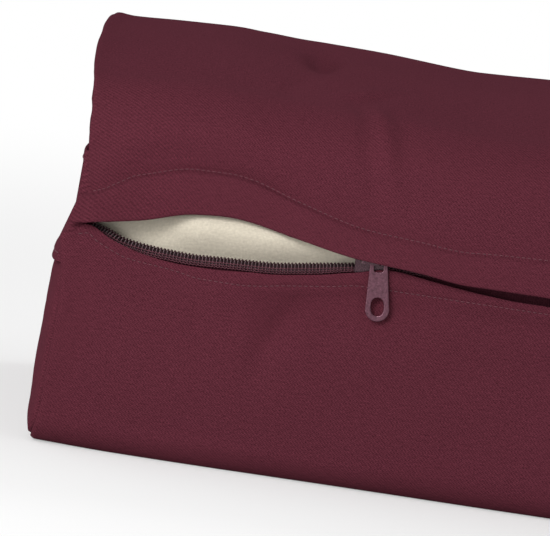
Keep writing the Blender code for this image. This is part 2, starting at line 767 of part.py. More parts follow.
def flange_outline(side):
    shares = (-0.46, -0.29, -0.12, 0.04, 0.46)
    outer = []
    inner = []
    for share in shares:
        x = SLIDER_X + share * SLIDER_LENGTH
        outer.append((x, CHAIN_Z + side * (slider_half_width(share) - PLATE_LEDGE)))
        inner.append((x, CHAIN_Z + side * channel_half_width(share)))
    return outer + list(reversed(inner))


def crown_outline():
    """The bridge seen from above: two feet and an arch with rounded shoulders, x and depth."""
    half = CROWN_SPAN / 2
    chamfer = 0.0009
    plate = PLATE_FRONT + PLATE_THICK / 2
    inner = half - CROWN_FOOT
    return [
        (-half, plate),
        (-half, CROWN_FRONT + chamfer),
        (-half + chamfer * 0.3, CROWN_FRONT + chamfer * 0.3),
        (-half + chamfer, CROWN_FRONT),
        (half - chamfer, CROWN_FRONT),
        (half - chamfer * 0.3, CROWN_FRONT + chamfer * 0.3),
        (half, CROWN_FRONT + chamfer),
        (half, plate),
        (inner, plate),
        (inner, CROWN_UNDER),
        (-inner, CROWN_UNDER),
        (-inner, plate),
    ]


def make_slider(material, group, cutters, axis):
    """Two plates joined by the wedge between the coils, side flanges, and the bridge in front."""
    outline = slider_outline(slider_half_width)
    body = upright_plate(
        "zip_slider_body", [outline], PLATE_FRONT, PLATE_FRONT + PLATE_THICK, group, material, 0.0002
    )
    rear = upright_plate(
        "slider_rear_plate", [outline], REAR_FRONT, REAR_FRONT + PLATE_THICK, cutters, None, 0.0002
    )
    boolean(body, rear, "UNION")
    for side in (-1, 1):
        flange = upright_plate(
            f"slider_flange_{'upper' if side > 0 else 'lower'}",
            [flange_outline(side)],
            PLATE_FRONT + PLATE_THICK / 2,
            TAPE_FRONT - CLEAR,
            cutters,
        )
        boolean(body, flange, "UNION")
    wedge_half = 0.75 * MOUTH_DIP * DIP_SHAPE[-1][1] - CLEAR / 2
    wedge = [(-0.44, 0.0), (-0.36, wedge_half * 0.8), (-0.28, wedge_half), (-0.17, 0.0)]
    wedge += [(share, -z) for share, z in reversed(wedge[1:-1])]
    wedge = [(SLIDER_X + share * SLIDER_LENGTH, CHAIN_Z + z) for share, z in wedge]
    post = upright_plate(
        "slider_wedge", [wedge], PLATE_FRONT + PLATE_THICK / 2, REAR_FRONT + PLATE_THICK / 2, cutters
    )
    boolean(body, post, "UNION")
    crown = flat_shape("slider_crown", [crown_outline()], CROWN_WIDTH, cutters)
    crown.matrix_world = Matrix.Translation((SLIDER_X, FACE_Y, CHAIN_Z))
    boolean(body, as_mesh(crown, None, cutters), "UNION")
    return hang(body, axis)


def hang(thing, axis):
    """Parent a piece to the empty on its joint, with its own origin there too."""
    place = axis.matrix_world.copy()
    thing.data.transform(place.inverted())
    thing.parent = axis
    return thing


FOOT_X = SLIDER_X + CROWN_SPAN / 2 - CROWN_FOOT / 2  # the crown's right foot, which the tab hangs on


def oval(centre_y, width, length, steps, power=2.4):
    """A rounded hole in the tab's plane."""
    points = []
    for i in range(steps):
        a = 2 * math.pi * i / steps
        c, s = math.cos(a), math.sin(a)
        x = math.copysign(abs(c) ** (2 / power), c) * width / 2
        y = math.copysign(abs(s) ** (2 / power), s) * length / 2
        points.append((x, centre_y + y))
    return points


def tab_outline(top, bottom):
    """A tapered tab with rounded top corners and a round ring end."""
    ring = TAB_RING_WIDTH / 2
    ring_y = bottom + ring
    half_top = TAB_TOP_WIDTH / 2
    corner = 0.0012
    points = [(half_top, top - corner), (half_top - corner * 0.3, top - corner * 0.3), (half_top - corner, top)]
    points += [(-x, y) for x, y in reversed(points)]
    for i in range(15):
        a = math.radians(180 + 180 * i / 14)
        points.append((ring * math.cos(a), ring_y + ring * math.sin(a)))
    return points


def make_tab(material, group, axis):
    """The pull tab in its own plane, its origin on the foot of the crown that it swings on."""
    foot_top = math.hypot(CROWN_WIDTH / 2, CROWN_FOOT / 2)
    eye_top = foot_top + CLEAR / 5
    top = eye_top + TAB_TOP_BAR
    bottom = top - TAB_LENGTH
    eye = oval(eye_top - TAB_EYE_LENGTH / 2, TAB_EYE_WIDTH, TAB_EYE_LENGTH, 16, 5.0)
    hole_y = bottom + (TAB_RING_WIDTH - TAB_HOLE_WIDTH) / 2 + TAB_HOLE_LENGTH / 2
    hole = oval(hole_y, TAB_HOLE_WIDTH, TAB_HOLE_LENGTH, 16)
    tab = flat_shape(
        "zip_pull_tab", [tab_outline(top, bottom), eye, hole], TAB_THICK, group, 0.0003, 1
    )
    place = Matrix.Translation((FOOT_X, FACE_Y + TAB_BACK - TAB_THICK / 2, CHAIN_Z))
    sway = Matrix.Rotation(math.radians(-TAB_SWAY), 4, "Y")
    tab.matrix_world = place @ sway @ FACING_FRONT
    return hang(as_mesh(tab, material, group), axis)


def new_axis(name, location, group):
    empty = bpy.data.objects.new(name, None)
    empty.empty_display_size = 0.01
    empty.location = location
    group.objects.link(empty)
    bpy.context.view_layer.update()
    return empty


def main():
    clear_scene()
    bolster = new_collection("yoga_bolster")
    cutters = new_collection("cutters")
    twill = new_material("burgundy_twill", (0.095, 0.022, 0.033), 0.9)
    strap = new_material("burgundy_strap", (0.085, 0.020, 0.030), 0.9)
    calico = new_material("natural_calico", (0.66, 0.60, 0.50), 0.95)
    cotton = new_material("cotton_batting", (0.80, 0.78, 0.72), 1.0)
    tape = new_material("zip_tape_weave", (0.050, 0.012, 0.018), 0.85)
    nylon = new_material("zip_nylon", (0.030, 0.010, 0.013), 0.45)
    paint = new_material("painted_zip_metal", (0.150, 0.060, 0.080), 0.4, 0.6)
    steel = new_material("zip_stop_steel", (0.100, 0.040, 0.050), 0.4, 0.6)

    make_cover_body(twill, bolster)
    for side in (-1, 1):
        panel = make_cover_end(side, twill, bolster)
        make_handle(side, panel, strap, bolster)
        make_liner_end(side, calico, bolster)
        make_tape(side, tape, bolster)
        make_coil(side, nylon, bolster)
    make_liner_body(calico, bolster)
    make_batts(cotton, bolster, cutters)
    make_stops(steel, bolster, cutters)
    slide_axis = new_axis("zip_slide_axis", (SLIDER_X, FACE_Y, CHAIN_Z), bolster)
    make_slider(paint, bolster, cutters, slide_axis)
    swing_axis = new_axis("pull_tab_axis", (FOOT_X, FACE_Y, CHAIN_Z), bolster)
    swing_axis.parent = slide_axis
    swing_axis.location = (FOOT_X - SLIDER_X, 0.0, 0.0)
    bpy.context.view_layer.update()
    make_tab(paint, bolster, swing_axis)


main()
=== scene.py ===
# Yoga bolster: the dressed model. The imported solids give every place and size.
import math

import bmesh
import bpy
import numpy as np
from mathutils import Matrix, Vector, noise
from mathutils.bvhtree import BVHTree


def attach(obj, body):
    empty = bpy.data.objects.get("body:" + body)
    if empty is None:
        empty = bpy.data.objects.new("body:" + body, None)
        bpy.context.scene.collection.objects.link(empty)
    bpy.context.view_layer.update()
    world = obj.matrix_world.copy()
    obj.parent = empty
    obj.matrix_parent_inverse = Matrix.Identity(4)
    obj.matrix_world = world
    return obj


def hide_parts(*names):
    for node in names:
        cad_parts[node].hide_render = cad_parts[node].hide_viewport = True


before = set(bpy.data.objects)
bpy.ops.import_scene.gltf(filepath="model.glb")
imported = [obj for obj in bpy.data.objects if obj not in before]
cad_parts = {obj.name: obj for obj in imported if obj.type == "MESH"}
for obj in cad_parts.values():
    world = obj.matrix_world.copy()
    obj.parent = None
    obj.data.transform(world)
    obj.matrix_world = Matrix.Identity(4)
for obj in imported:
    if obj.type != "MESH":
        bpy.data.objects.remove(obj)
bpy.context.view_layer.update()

mm = 0.001
scene = bpy.context.scene


def inMm(**lengths):
    # lengths that are given in mm
    return {key: length * mm for key, length in lengths.items()}


# Sizes shared by the pieces, the same as in the solids
cushion = inMm(
    length=660, width=300, height=152, cornerLow=12, cornerTop=26, crown=10, backBulge=4, frontTuck=3,
    upperProud=2, endBulge=6, endSink=6, endPull=4, endDrop=1.5, endLift=1.5, pullReach=60,
)
cloth = inMm(fabric=0.8, liner=0.6, clear=0.3)
zipper = inMm(
    chainZ=87.3, pitch=1.33, mesh=1.0, mouthDip=7.7, coilFront=3.3, coilBack=4.9, tapeFront=5.0,
    tapeThick=0.5, linerFront=7.2, sliderX=-208, sliderLength=12, tapeLeft=-318.5, tapeRight=318.5,
    coilLeft=-316.0, coilRight=306.2, upperRaise=4.5,
)
zipper.update(raiseRun=0.25, joinFrom=0.8, joinRun=0.2)  # shares of the mouth's length
lip = inMm(drop=6.8, underTips=3.6, lower=0.9, lowerRun=14, peakDrop=2.1)
flap = inMm(drop=3.3, rise=12, reach=190, stand=5.4, flare=1.9, lay=0.9, settle=9, nearer=1.9)
flap.update(nearFrom=(16, 20), nearTo=(104, 24))
faceY = -cushion["width"] / 2 + flap["stand"]
leftEnd = -cushion["length"] / 2
leftSeam = leftEnd + cushion["endBulge"]
rightSeam = -leftSeam
seams = {-1: leftSeam, 1: rightSeam}
sideWord = {-1: "Left", 1: "Right"}
halfWord = {-1: "Lower", 1: "Upper"}
throatX = zipper["sliderX"] - zipper["sliderLength"] / 2

# the mouth's dip and the flap's rise, as shares of their depth by shares of their length
dipShape = [(0, 0.05), (0.08, 0.27), (0.15, 0.61), (0.23, 0.78), (0.31, 0.87), (0.41, 0.92), (0.52, 0.86),
            (0.69, 0.76), (0.87, 0.43), (1, 0.195)]
riseShape = [(0, 0), (0.09, 0.25), (0.18, 0.5), (0.28, 0.92), (0.35, 1), (0.49, 0.66), (0.61, 0.33),
             (0.74, 0.17), (0.84, 0), (1, 0)]
narrowShape = [(0.0, 1.0), (0.21, 0.77), (0.38, 0.2)]  # of what is left of the dip, along the slider
meshedAt = 0.54  # share of the slider's length
# in mm, by the distance from the left end: the width of the flap's hem, and the heights of the lower
# panel's folded edge and of its stitch line
hemRun = [(6, 12), (14, 13), (21, 15.2), (28, 17.4), (39, 18), (58, 16.4), (70, 15.8), (96, 13),
          (126, 11.2), (145, 11.4), (170, 13.1), (190, 13.8), (250, 14)]
lipRun = [(6, 81.2), (9, 81.4), (11, 83.2), (13.6, 85.6), (16.7, 85.2), (20.9, 83), (24.5, 81.4),
          (29.6, 79.5), (36.6, 77.6), (44.5, 76.3), (54.3, 75.6), (63.9, 75.6), (73.5, 76.3), (81, 76.9)]
lipSeamRun = [(6, 78.2), (9, 78.6), (12, 81.2), (15.5, 82.2), (19.4, 79.9), (25, 77.3), (31, 75.1),
              (37, 74.3), (49, 73.1), (60, 71.4), (74, 71.3), (82, 72), (89, 73.2), (108, 75.8),
              (120, 77.6), (147, 77.6), (330, 77.8)]
lipAfter = [(14, 1), (29, 0.65), (43, 0.3), (60, 0)]  # share of the peak, by mm past the throat


def ease(t):
    return t * t * (3 - 2 * t)


def smooth(t):
    return ease(np.clip(t, 0.0, 1.0))


def bell(gap, wide):
    return np.exp(-((gap / wide) ** 2))


def unit(vectors):
    return vectors / np.maximum(np.linalg.norm(vectors, axis=-1, keepdims=True), 1e-12)


def through(points, x):
    xs, zs = zip(*points)
    if x <= xs[0]:
        return zs[0]
    if x >= xs[-1]:
        return zs[-1]
    slopes = [(zs[i + 1] - zs[i]) / (xs[i + 1] - xs[i]) for i in range(len(xs) - 1)]
    tangents = [slopes[0]]
    for before, after in zip(slopes, slopes[1:]):
        tangents.append(0.0 if before * after <= 0 else 2 * before * after / (before + after))
    tangents.append(slopes[-1])
    i = max(k for k in range(len(xs) - 1) if xs[k] <= x)
    step = xs[i + 1] - xs[i]
    t = (x - xs[i]) / step
    return (zs[i] * (1 + 2 * t) * (1 - t) ** 2 + zs[i + 1] * t * t * (3 - 2 * t)
            + tangents[i] * step * t * (1 - t) ** 2 - tangents[i + 1] * step * t * t * (1 - t))


def fromSeam(x):
    return min(x - leftSeam, rightSeam - x)


def endEase(x):
    return max(0.0, 1 - max(0.0, fromSeam(x)) / cushion["pullReach"]) ** 2


def flapEase(x):
    return smooth(fromSeam(x) / flap["settle"])


def tipOffset(x):
    opening = zipper["mouthDip"]
    if x <= throatX:
        return opening * through(dipShape, (x - zipper["coilLeft"]) / (throatX - zipper["coilLeft"]))
    start = opening * dipShape[-1][1]
    narrow = [(at, share * start) for at, share in narrowShape] + [(meshedAt, -zipper["mesh"] / 2)]
    return through(narrow, (x - throatX) / zipper["sliderLength"])


def flapEdgeZ(x):
    rise = flap["rise"] * through(riseShape, (x - leftEnd) / flap["reach"])
    return zipper["chainZ"] - flap["drop"] + rise


def hemWidth(x):
    return through(hemRun, (x - leftEnd) / mm) * mm


def lowerTipsZ(x):
    return zipper["chainZ"] - tipOffset(x)


def upperTipsZ(x):
    if x >= throatX:
        return zipper["chainZ"] + tipOffset(x)
    behindFlap = flapEdgeZ(x) + cloth["clear"] - zipper["chainZ"]
    atThroat = zipper["mouthDip"] * dipShape[-1][1]
    share = (x - zipper["coilLeft"]) / (throatX - zipper["coilLeft"])
    joined = smooth((share - zipper["joinFrom"]) / zipper["joinRun"])
    raised = max(behindFlap, atThroat) + zipper["upperRaise"] * smooth(share / zipper["raiseRun"])
    return zipper["chainZ"] + raised * (1 - joined) + atThroat * joined


def lipZ(x):
    if x <= throatX:
        d = (x - leftEnd) / mm
        if d < lipRun[-1][0]:
            return through(lipRun, d) * mm
        return lowerTipsZ(x) - lip["underTips"] - lip["lower"] * smooth((throatX - x) / lip["lowerRun"])
    start = lowerTipsZ(throatX) - lip["underTips"]
    peak = zipper["chainZ"] - lip["peakDrop"]
    level = zipper["chainZ"] - lip["drop"]
    after = [(at * mm, share * peak + (1 - share) * level) for at, share in lipAfter]
    return through([(0.0, start)] + after, x - throatX)


def flapY(x, flare):
    d = (x - leftEnd) / mm
    (near, nearRun), (far, farRun) = flap["nearFrom"], flap["nearTo"]
    nearer = flap["nearer"] * smooth((d - near) / nearRun) * smooth((far - d) / farRun)
    stand = flap["stand"] - flare - nearer
    return faceY - (flap["lay"] + (stand - flap["lay"]) * flapEase(x))


def stitchZ(x):
    return flapEdgeZ(x) + hemWidth(x)


def lipSeamZ(x):
    return through(lipSeamRun, (x - leftEnd) / mm) * mm


def arc(cy, cz, r, start, end, steps):
    angles = [math.radians(start + (end - start) * i / steps) for i in range(steps + 1)]
    return [(cy + r * math.cos(a), cz + r * math.sin(a)) for a in angles]


def line(a, b, steps, bow=0.0):
    # points after a up to b, bowed outwards to the left of the way
    dy, dz = b[0] - a[0], b[1] - a[1]
    size = math.hypot(dy, dz)
    points = []
    for i in range(1, steps + 1):
        t = i / steps
        side = 4 * bow * t * (1 - t) / size
        points.append((a[0] + dy * t + dz * side, a[1] + dz * t - dy * side))
    return points


def bodyRun(x, inset, frontLow, frontHigh, steps):
    # from the front's lower corner round the base, back and top to the front's upper corner
    c = cushion
    ease = endEase(x)
    pull = c["endPull"] * ease
    low = c["endLift"] * ease + inset
    high = c["height"] - c["crown"] - c["endDrop"] * ease - inset
    back = c["width"] / 2 - c["backBulge"] - pull - inset
    frontLow += pull
    frontHigh += pull
    rLow, rTop = c["cornerLow"] - inset, c["cornerTop"] - inset
    lowCorner, baseSteps, backSteps, topCorner, topSteps = steps
    run = arc(frontLow + rLow, low + rLow, rLow, 180, 270, lowCorner)
    run += line(run[-1], (back - rLow, low), baseSteps)
    run += arc(back - rLow, low + rLow, rLow, 270, 360, lowCorner)[1:]
    run += line(run[-1], (back, high - rTop), backSteps, c["backBulge"])
    run += arc(back - rTop, high - rTop, rTop, 0, 90, topCorner)[1:]
    run += line(run[-1], (frontHigh + rTop, high), topSteps, c["crown"])
    run += arc(frontHigh + rTop, high - rTop, rTop, 90, 180, topCorner)[1:]
    return run


# Surfaces as grids of points

def gridNormals(grid, closed=False):
    along = np.gradient(grid, axis=0)
    wrapped = np.concatenate([grid[:, -1:], grid, grid[:, :1]], axis=1)
    across = np.gradient(wrapped, axis=1)[:, 1:-1] if closed else np.gradient(grid, axis=1)
    return unit(np.cross(across, along))


def runAlong(points):
    # the distance along the points, from zero
    steps = np.linalg.norm(np.diff(points, axis=-2), axis=-1)
    return np.concatenate([np.zeros((*steps.shape[:-1], 1)), np.cumsum(steps, axis=-1)], axis=-1)


def quadFaces(rows, cols, closed, base=0):
    i, j = np.meshgrid(np.arange(rows - 1), np.arange(cols if closed else cols - 1), indexing="ij")
    k = (j + 1) % cols
    corners = (i * cols + j, i * cols + k, (i + 1) * cols + k, (i + 1) * cols + j)
    return np.stack(corners, axis=-1).reshape(-1, 4) + base


def flatMesh(name, verts, faces, coords):
    # a mesh that carries each point's place in its own cloth
    mesh = bpy.data.meshes.new(name)
    mesh.from_pydata([tuple(v) for v in verts], [], [tuple(face) for face in faces])
    data = np.zeros((len(verts), 3))
    data[:, :2] = coords
    mesh.attributes.new("cloth", "FLOAT_VECTOR", "POINT").data.foreach_set("vector", data.ravel())
    mesh.shade_smooth()
    return mesh


def gridMesh(name, grid, coords, closed=False, flip=False):
    faces = quadFaces(*grid.shape[:2], closed)
    if flip:
        faces = faces[:, ::-1]
    return flatMesh(name, grid.reshape(-1, 3), faces.tolist(), coords.reshape(-1, 2))


def adjust(thing, **settings):
    for key, value in settings.items():
        setattr(thing, key, value)
    return thing


def addObject(name, data):
    thing = bpy.data.objects.new(name, data)
    scene.collection.objects.link(thing)
    return thing


def addPiece(name, mesh, material, node=None):
    thing = addObject(name, mesh)
    mesh.materials.append(material)
    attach(thing, "cover")
    if node:
        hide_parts(node)
    return thing


def applyModifiers(thing):
    bpy.context.view_layer.update()
    evaluated = thing.evaluated_get(bpy.context.evaluated_depsgraph_get())
    mesh = bpy.data.meshes.new_from_object(evaluated)
    old = thing.data
    thing.modifiers.clear()
    thing.data = mesh
    bpy.data.meshes.remove(old)
    mesh.name = thing.name
    mesh.shade_smooth()


def thicken(thing, thickness, group="", rounds=0):
    adjust(thing.modifiers.new("thickness", "SOLIDIFY"), thickness=thickness, offset=-1,
           use_even_offset=True, thickness_clamp=1.0, vertex_group=group)
    if rounds:
        adjust(thing.modifiers.new("smooth", "SUBSURF"), levels=rounds, render_levels=rounds)
    applyModifiers(thing)


sinkTo = cushion["height"] - cushion["crown"] - cushion["endDrop"] - cushion["cornerTop"]
sinkFrom = (cushion["endLift"] + cushion["cornerLow"] + sinkTo) / 2


def sinkAt(side, z):
    # above the zip the left end panel stands out less
    share = min(max((z - sinkFrom) / (sinkTo - sinkFrom), 0.0), 1.0)
    return cushion["endSink"] * share if side < 0 else 0.0


# How the soft pieces lie in use, all in mm. The left end leans in above the zip, by height, less so
# along its front and back seams. The top rises beside the left end, by the distance from that end,
# and its long edges are rounder than in the solids.
lie = {
    "lean": [(1, -2.6), (4, -1.9), (8, -1), (12, -0.3), (16, 0.4), (29, 0.8), (41, 1.5), (54, 2.1),
             (66, 2.4), (72, 3.7), (79, 4.9), (85, 6.4), (92, 7.6), (97, 8.2), (100, 8), (104, 7.3),
             (111, 6.2), (117, 5.2), (129, 4), (137, 2.6), (141, 0.6), (144, -0.5), (147, -1.2),
             (149, -2.4), (153, -3)],
    "seamLean": [(1, -2.6), (4, -1.9), (8, -1), (12, -0.3), (29, 0.8), (54, 2.1), (66, 1.5), (73, 0.3),
                 (80, -0.5), (85, 1), (92, 3), (95.5, 5), (98, 6.8), (104, 6.5), (110, 5.4),
                 (117, 4.4), (129, 3.1), (138, 1.9), (141, 0.6), (144, -0.5), (153, -3)],
    "leanLength": 25, "seamDepth": 2.2, "backShare": 0.35,
    "drop": 1.4, "dropBelow": 40, "dropLength": 45, "floor": 0.1,
    # each at a place, with its half widths and its depth
    "dents": [((91, -42), (6.5, 26), 5.5), ((60, -60), (30, 60), -1.0), ((150, -20), (26, 90), 1.2),
              ((330, 10), (60, 80), 1.6), ((520, -30), (50, 70), 1.4)],
    "rise": [(0, 4.4), (6, 4.2), (14, 3.4), (30, 3.7), (55, 3.4), (65, 2.9), (85, 1.8), (115, 1.7),
             (150, 0.9)],
    "soften": 3.6, "softenDepth": 46, "riseFrom": 112, "riseTo": 142,
    "hold": 2.5, "zipHold": 9, "endHold": -20,  # how far behind the front or the back the seams' lean holds
}
ruler = np.linspace(-20, 700, 1441)
lieRuns = {key: np.array([through(lie[key], at) for at in ruler]) for key in ("lean", "seamLean", "rise")}


def settled(points, hold=lie["hold"]):
    # the same points where the soft pieces lie
    p = np.asarray(points) / mm
    x, y, z = p[..., 0] - leftEnd / mm, p[..., 1], p[..., 2]
    half = cushion["width"] / 2 / mm
    deep = np.minimum(y - faceY / mm, half - cushion["backBulge"] / mm - y)
    seam = bell(np.maximum(deep - hold, 0), lie["seamDepth"])
    lean, atSeam = (np.interp(z, ruler, lieRuns[key]) for key in ("lean", "seamLean"))
    lean = lean * (1 - seam) + atSeam * seam
    lean = lean * np.exp(-np.maximum(x - cushion["endBulge"] / mm, 0) / lie["leanLength"])
    lean = lean * (1 - lie["backShare"] * np.clip((y + half) / (2 * half), 0, 1))
    high = smooth((z - lie["riseFrom"]) / (lie["riseTo"] - lie["riseFrom"]))
    edge = bell(np.maximum(deep, 0), lie["softenDepth"])
    rise = np.interp(x, ruler, lieRuns["rise"]) - lie["soften"] * edge
    for (atX, atY), (wideX, wideY), deepest in lie["dents"]:
        rise = rise - deepest * np.exp(-(((x - atX) / wideX) ** 2 + ((y - atY) / wideY) ** 2))
    drop = np.clip(1 - z / lie["dropBelow"], 0, 1) * lie["drop"]
    drop = drop * np.exp(-np.maximum(x, 0) / lie["dropLength"])
    height = np.maximum(z + rise * high - drop, np.minimum(z, lie["floor"]))
    return np.stack([p[..., 0] + lean, y, height], axis=-1) * mm


def settle(thing, hold=lie["hold"]):
    coords = np.zeros(len(thing.data.vertices) * 3)
    thing.data.vertices.foreach_get("co", coords)
    thing.data.vertices.foreach_set("co", settled(coords.reshape(-1, 3), hold).ravel())
    thing.data.update()


def wave3(x, y, z, seed):
    return noise.noise(Vector((x + 17.3 * seed, y - 9.1 * seed, z + 5.7 * seed)))


def waves(points, scale, seed):
    # one wave value for each point of a grid
    return np.array([[wave3(*(p * scale), seed) for p in row] for row in points])


# Materials

def nodeKit(name):
    material = bpy.data.materials.new(name)
    material.use_nodes = True
    tree = material.node_tree
    return material, tree, tree.nodes["Principled BSDF"]


def feed(node, inputs):
    # values or links for a node's inputs
    for key, value in inputs.items():
        if isinstance(value, bpy.types.NodeSocket):
            node.id_data.links.new(value, node.inputs[key])
        elif value is not None:
            node.inputs[key].default_value = value


def addNode(tree, kind, inputs=(), **settings):
    node = adjust(tree.nodes.new("ShaderNode" + kind), **settings)
    feed(node, dict(inputs))
    return node


def math2(operation, a, b=None, clamp=False):
    return addNode(a.id_data, "Math", {0: a, 1: b}, operation=operation, use_clamp=clamp).outputs[0]


def centred(value, amount):
    return math2("MULTIPLY", math2("SUBTRACT", value, 0.5), amount)


def mixColour(factor, look):
    # sockets 6 and 7 take the colours, and the third output gives theirs
    inputs = {0: factor, 6: (*look["dark"], 1.0), 7: (*look["light"], 1.0)}
    return addNode(factor.id_data, "Mix", inputs, data_type="RGBA").outputs[2]


def noiseAt(vector, scale, detail, roughness=0.5, stretch=None):
    tree = vector.id_data
    if stretch:
        vector = addNode(tree, "Mapping", {"Scale": stretch, "Vector": vector}).outputs[0]
    inputs = {"Scale": scale, "Detail": detail, "Roughness": roughness, "Vector": vector}
    return addNode(tree, "TexNoise", inputs).outputs["Fac"]


def bump(height, distance):
    inputs = {"Distance": distance * mm, "Strength": 1.0, "Height": height}
    return addNode(height.id_data, "Bump", inputs).outputs["Normal"]


def ribs(vector, angle, period, wobble):
    # a sine across a direction in the cloth's own plane
    turn = 2 * math.pi / period
    across = (math.cos(angle) * turn, math.sin(angle) * turn, 0.0)
    dot = addNode(vector.id_data, "VectorMath", {0: vector, 1: across}, operation="DOT_PRODUCT")
    return math2("SINE", math2("ADD", dot.outputs["Value"], wobble))


def clothMaterial(name, look):
    material, tree, shader = nodeKit(name)
    place = addNode(tree, "Attribute", attribute_name="cloth").outputs["Vector"]
    wobble = centred(noiseAt(place, look["wobbleScale"], 2.0), look["wobble"])
    rib = ribs(place, math.radians(look["angle"]), look["rib"], wobble)
    yarn = ribs(place, math.radians(look["angle"] + look["cross"]), look["yarn"], wobble)
    weave = math2("ADD", math2("MULTIPLY", rib, 0.5), math2("MULTIPLY", yarn, 0.5))
    slub = noiseAt(place, look["slubScale"], 3.0, 0.6, look["slubStretch"])
    speck = noiseAt(place, look["speckScale"], 2.0, 0.6)
    broad = noiseAt(place, look["broadScale"], 3.0, 0.55)
    tone = math2("MULTIPLY", weave, look["weaveTone"])
    for source, key in ((slub, "slubTone"), (speck, "speckTone"), (broad, "broadTone")):
        tone = math2("ADD", tone, centred(source, look[key]))
    tone = math2("ADD", tone, 0.5, clamp=True)
    height = math2("ADD", math2("MULTIPLY", weave, 0.5), math2("MULTIPLY", slub, 0.6))
    feed(shader, {
        "Base Color": mixColour(tone, look), "Roughness": look["roughness"],
        "Sheen Weight": look["sheen"], "Sheen Roughness": 0.5, "Sheen Tint": (*look["sheenTint"], 1.0),
        "Specular IOR Level": 0.0, "Normal": bump(height, look["relief"]),
    })
    return material


twillLook = dict(
    dark=(0.038, 0.0078, 0.0125), light=(0.118, 0.027, 0.041), angle=-44, cross=90, rib=0.95 * mm,
    yarn=0.65 * mm, wobble=1.6, wobbleScale=180, slubScale=300, slubStretch=(1, 4, 1), speckScale=1500,
    broadScale=9, weaveTone=0.27, slubTone=0.5, speckTone=1.35, broadTone=0.25, roughness=0.94, sheen=0.03,
    sheenTint=(0.8, 0.32, 0.42), relief=0.14,
)
strapLook = dict(twillLook, angle=60, cross=60, rib=1.8 * mm, yarn=0.9 * mm, relief=0.2)
linerLook = dict(
    twillLook, dark=(0.4, 0.36, 0.29), light=(0.66, 0.6, 0.49), angle=0, rib=0.55 * mm, yarn=0.6 * mm,
    wobble=1, slubScale=220, slubStretch=(1, 7, 1), speckScale=900, weaveTone=0.12, speckTone=0.8,
    broadTone=0.15, roughness=0.95, sheen=0.1, sheenTint=(1, 0.97, 0.92), relief=0.08,
)
tapeLook = dict(
    twillLook, dark=(0.03, 0.007, 0.011), light=(0.085, 0.022, 0.032), angle=0, rib=0.9 * mm,
    yarn=0.45 * mm, relief=0.12, speckTone=0.2, slubTone=0.2,
)
twill = clothMaterial("burgundyTwill", twillLook)
webbing = clothMaterial("burgundyWebbing", strapLook)
calico = clothMaterial("naturalCalico", linerLook)
tapeWeave = clothMaterial("zipTapeWeave", tapeLook)


def glossMaterial(name, look):
    material, tree, shader = nodeKit(name)
    place = addNode(tree, "TexCoord").outputs["Object"]
    grain = centred(noiseAt(place, look["scale"], 3.0, 0.6), look.get("contrast", 1.0))
    grain = math2("ADD", grain, 0.5, clamp=True)
    uneven = math2("ADD", math2("MULTIPLY", grain, 0.25), look["roughness"] - 0.12)
    feed(shader, {
        "Base Color": mixColour(grain, look), "Roughness": uneven,
        "Metallic": look.get("metallic", 0.0), "Coat Weight": look.get("coat", 0.0), "Coat Roughness": 0.16,
        "Normal": bump(grain, look["relief"]),
    })
    return material


glossLooks = dict(
    zipNylon=dict(light=(0.05, 0.018, 0.024), dark=(0.035, 0.0126, 0.0168), roughness=0.38, relief=0.02,
                  scale=1500),
    sewingThread=dict(light=(0.15, 0.037, 0.054), dark=(0.05, 0.011, 0.018), roughness=0.75, relief=0.05,
                      scale=160),
    # the coil's thread rows: real stitching, coloured light so that it also stands for the glints on the
    # coil's turns, a painted highlight
    coilThreadAndGlint=dict(light=(0.26, 0.085, 0.115), dark=(0.1, 0.03, 0.042), roughness=0.6, relief=0.05,
                    scale=400),
    tabPaint=dict(light=(0.15, 0.058, 0.084), dark=(0.055, 0.018, 0.028), roughness=0.34, relief=0.08,
                  scale=1100, metallic=0.65, coat=0.1, contrast=1.6),
    sliderPaint=dict(light=(0.08, 0.034, 0.046), dark=(0.03, 0.01, 0.016), roughness=0.28, relief=0.05,
                     scale=1500, metallic=0.8, coat=0.3, contrast=2),
    stopPaint=dict(light=(0.05, 0.016, 0.022), dark=(0.03, 0.01, 0.014), roughness=0.5, relief=0.04,
                   scale=1800, metallic=0.3),
    cottonBatting=dict(light=(0.8, 0.78, 0.72), dark=(0.66, 0.63, 0.56), roughness=0.95, relief=0.6,
                       scale=140),
)
gloss = {name: glossMaterial(name, look) for name, look in glossLooks.items()}
print("materials made")

# Cover

cover = {
    # mm below the folded edge
    "lowerFront": [0, 0.5, 1, 1.6, 2.2, 2.8, 3.4, 4, 4.6, 5.2, 5.8, 6.4, 7.4, 9, 11.5],
    "foldDepth": 7, "lowerRows": 22, "upperRows": 5, "restRows": 82, "seamRows": (11, 9), "laidRows": 8,
    "steps": (8, 26, 22, 10, 44),  # on the lower corners, the base, the back, the upper corners and the top
    "hemRows": [1, 0.955, 0.91, 0.82, 0.7, 0.58, 0.46, 0.34, 0.22, 0.11, 0],  # share of the hem's width
    "valleyLess": 0.65, "broadScale": 14, "smallScale": (45, 45, 60), "puckerWave": 9, "held": 0.12,
    "normalRounds": 4, "puckerAcross": 0.3,
    **inMm(
        fine=2.2, fineTo=239, seamRun=8, seamCurl=1.1, seamWide=0.9, puff=0.5, groove=0.5, lipGroove=0.6,
        hemGroove=0.7, valley=2.2, valleyUp=7, valleyDown=0.6, lipValley=1.2, lipValleyDrop=6,
        lipValleyWide=5, mouthEnd=60, pastReach=40, broad=1.6, small=0.5, pucker=1.2, puckerReach=14,
        puckerFrom=2, edgeHold=9, baseHold=14, restGap=1,
        inward=0.7,  # most that the cloth goes in where the inner cushion lies close
        outward=0.25, tabFrom=56,  # most that it comes out where the pull tab hangs
    ),
}


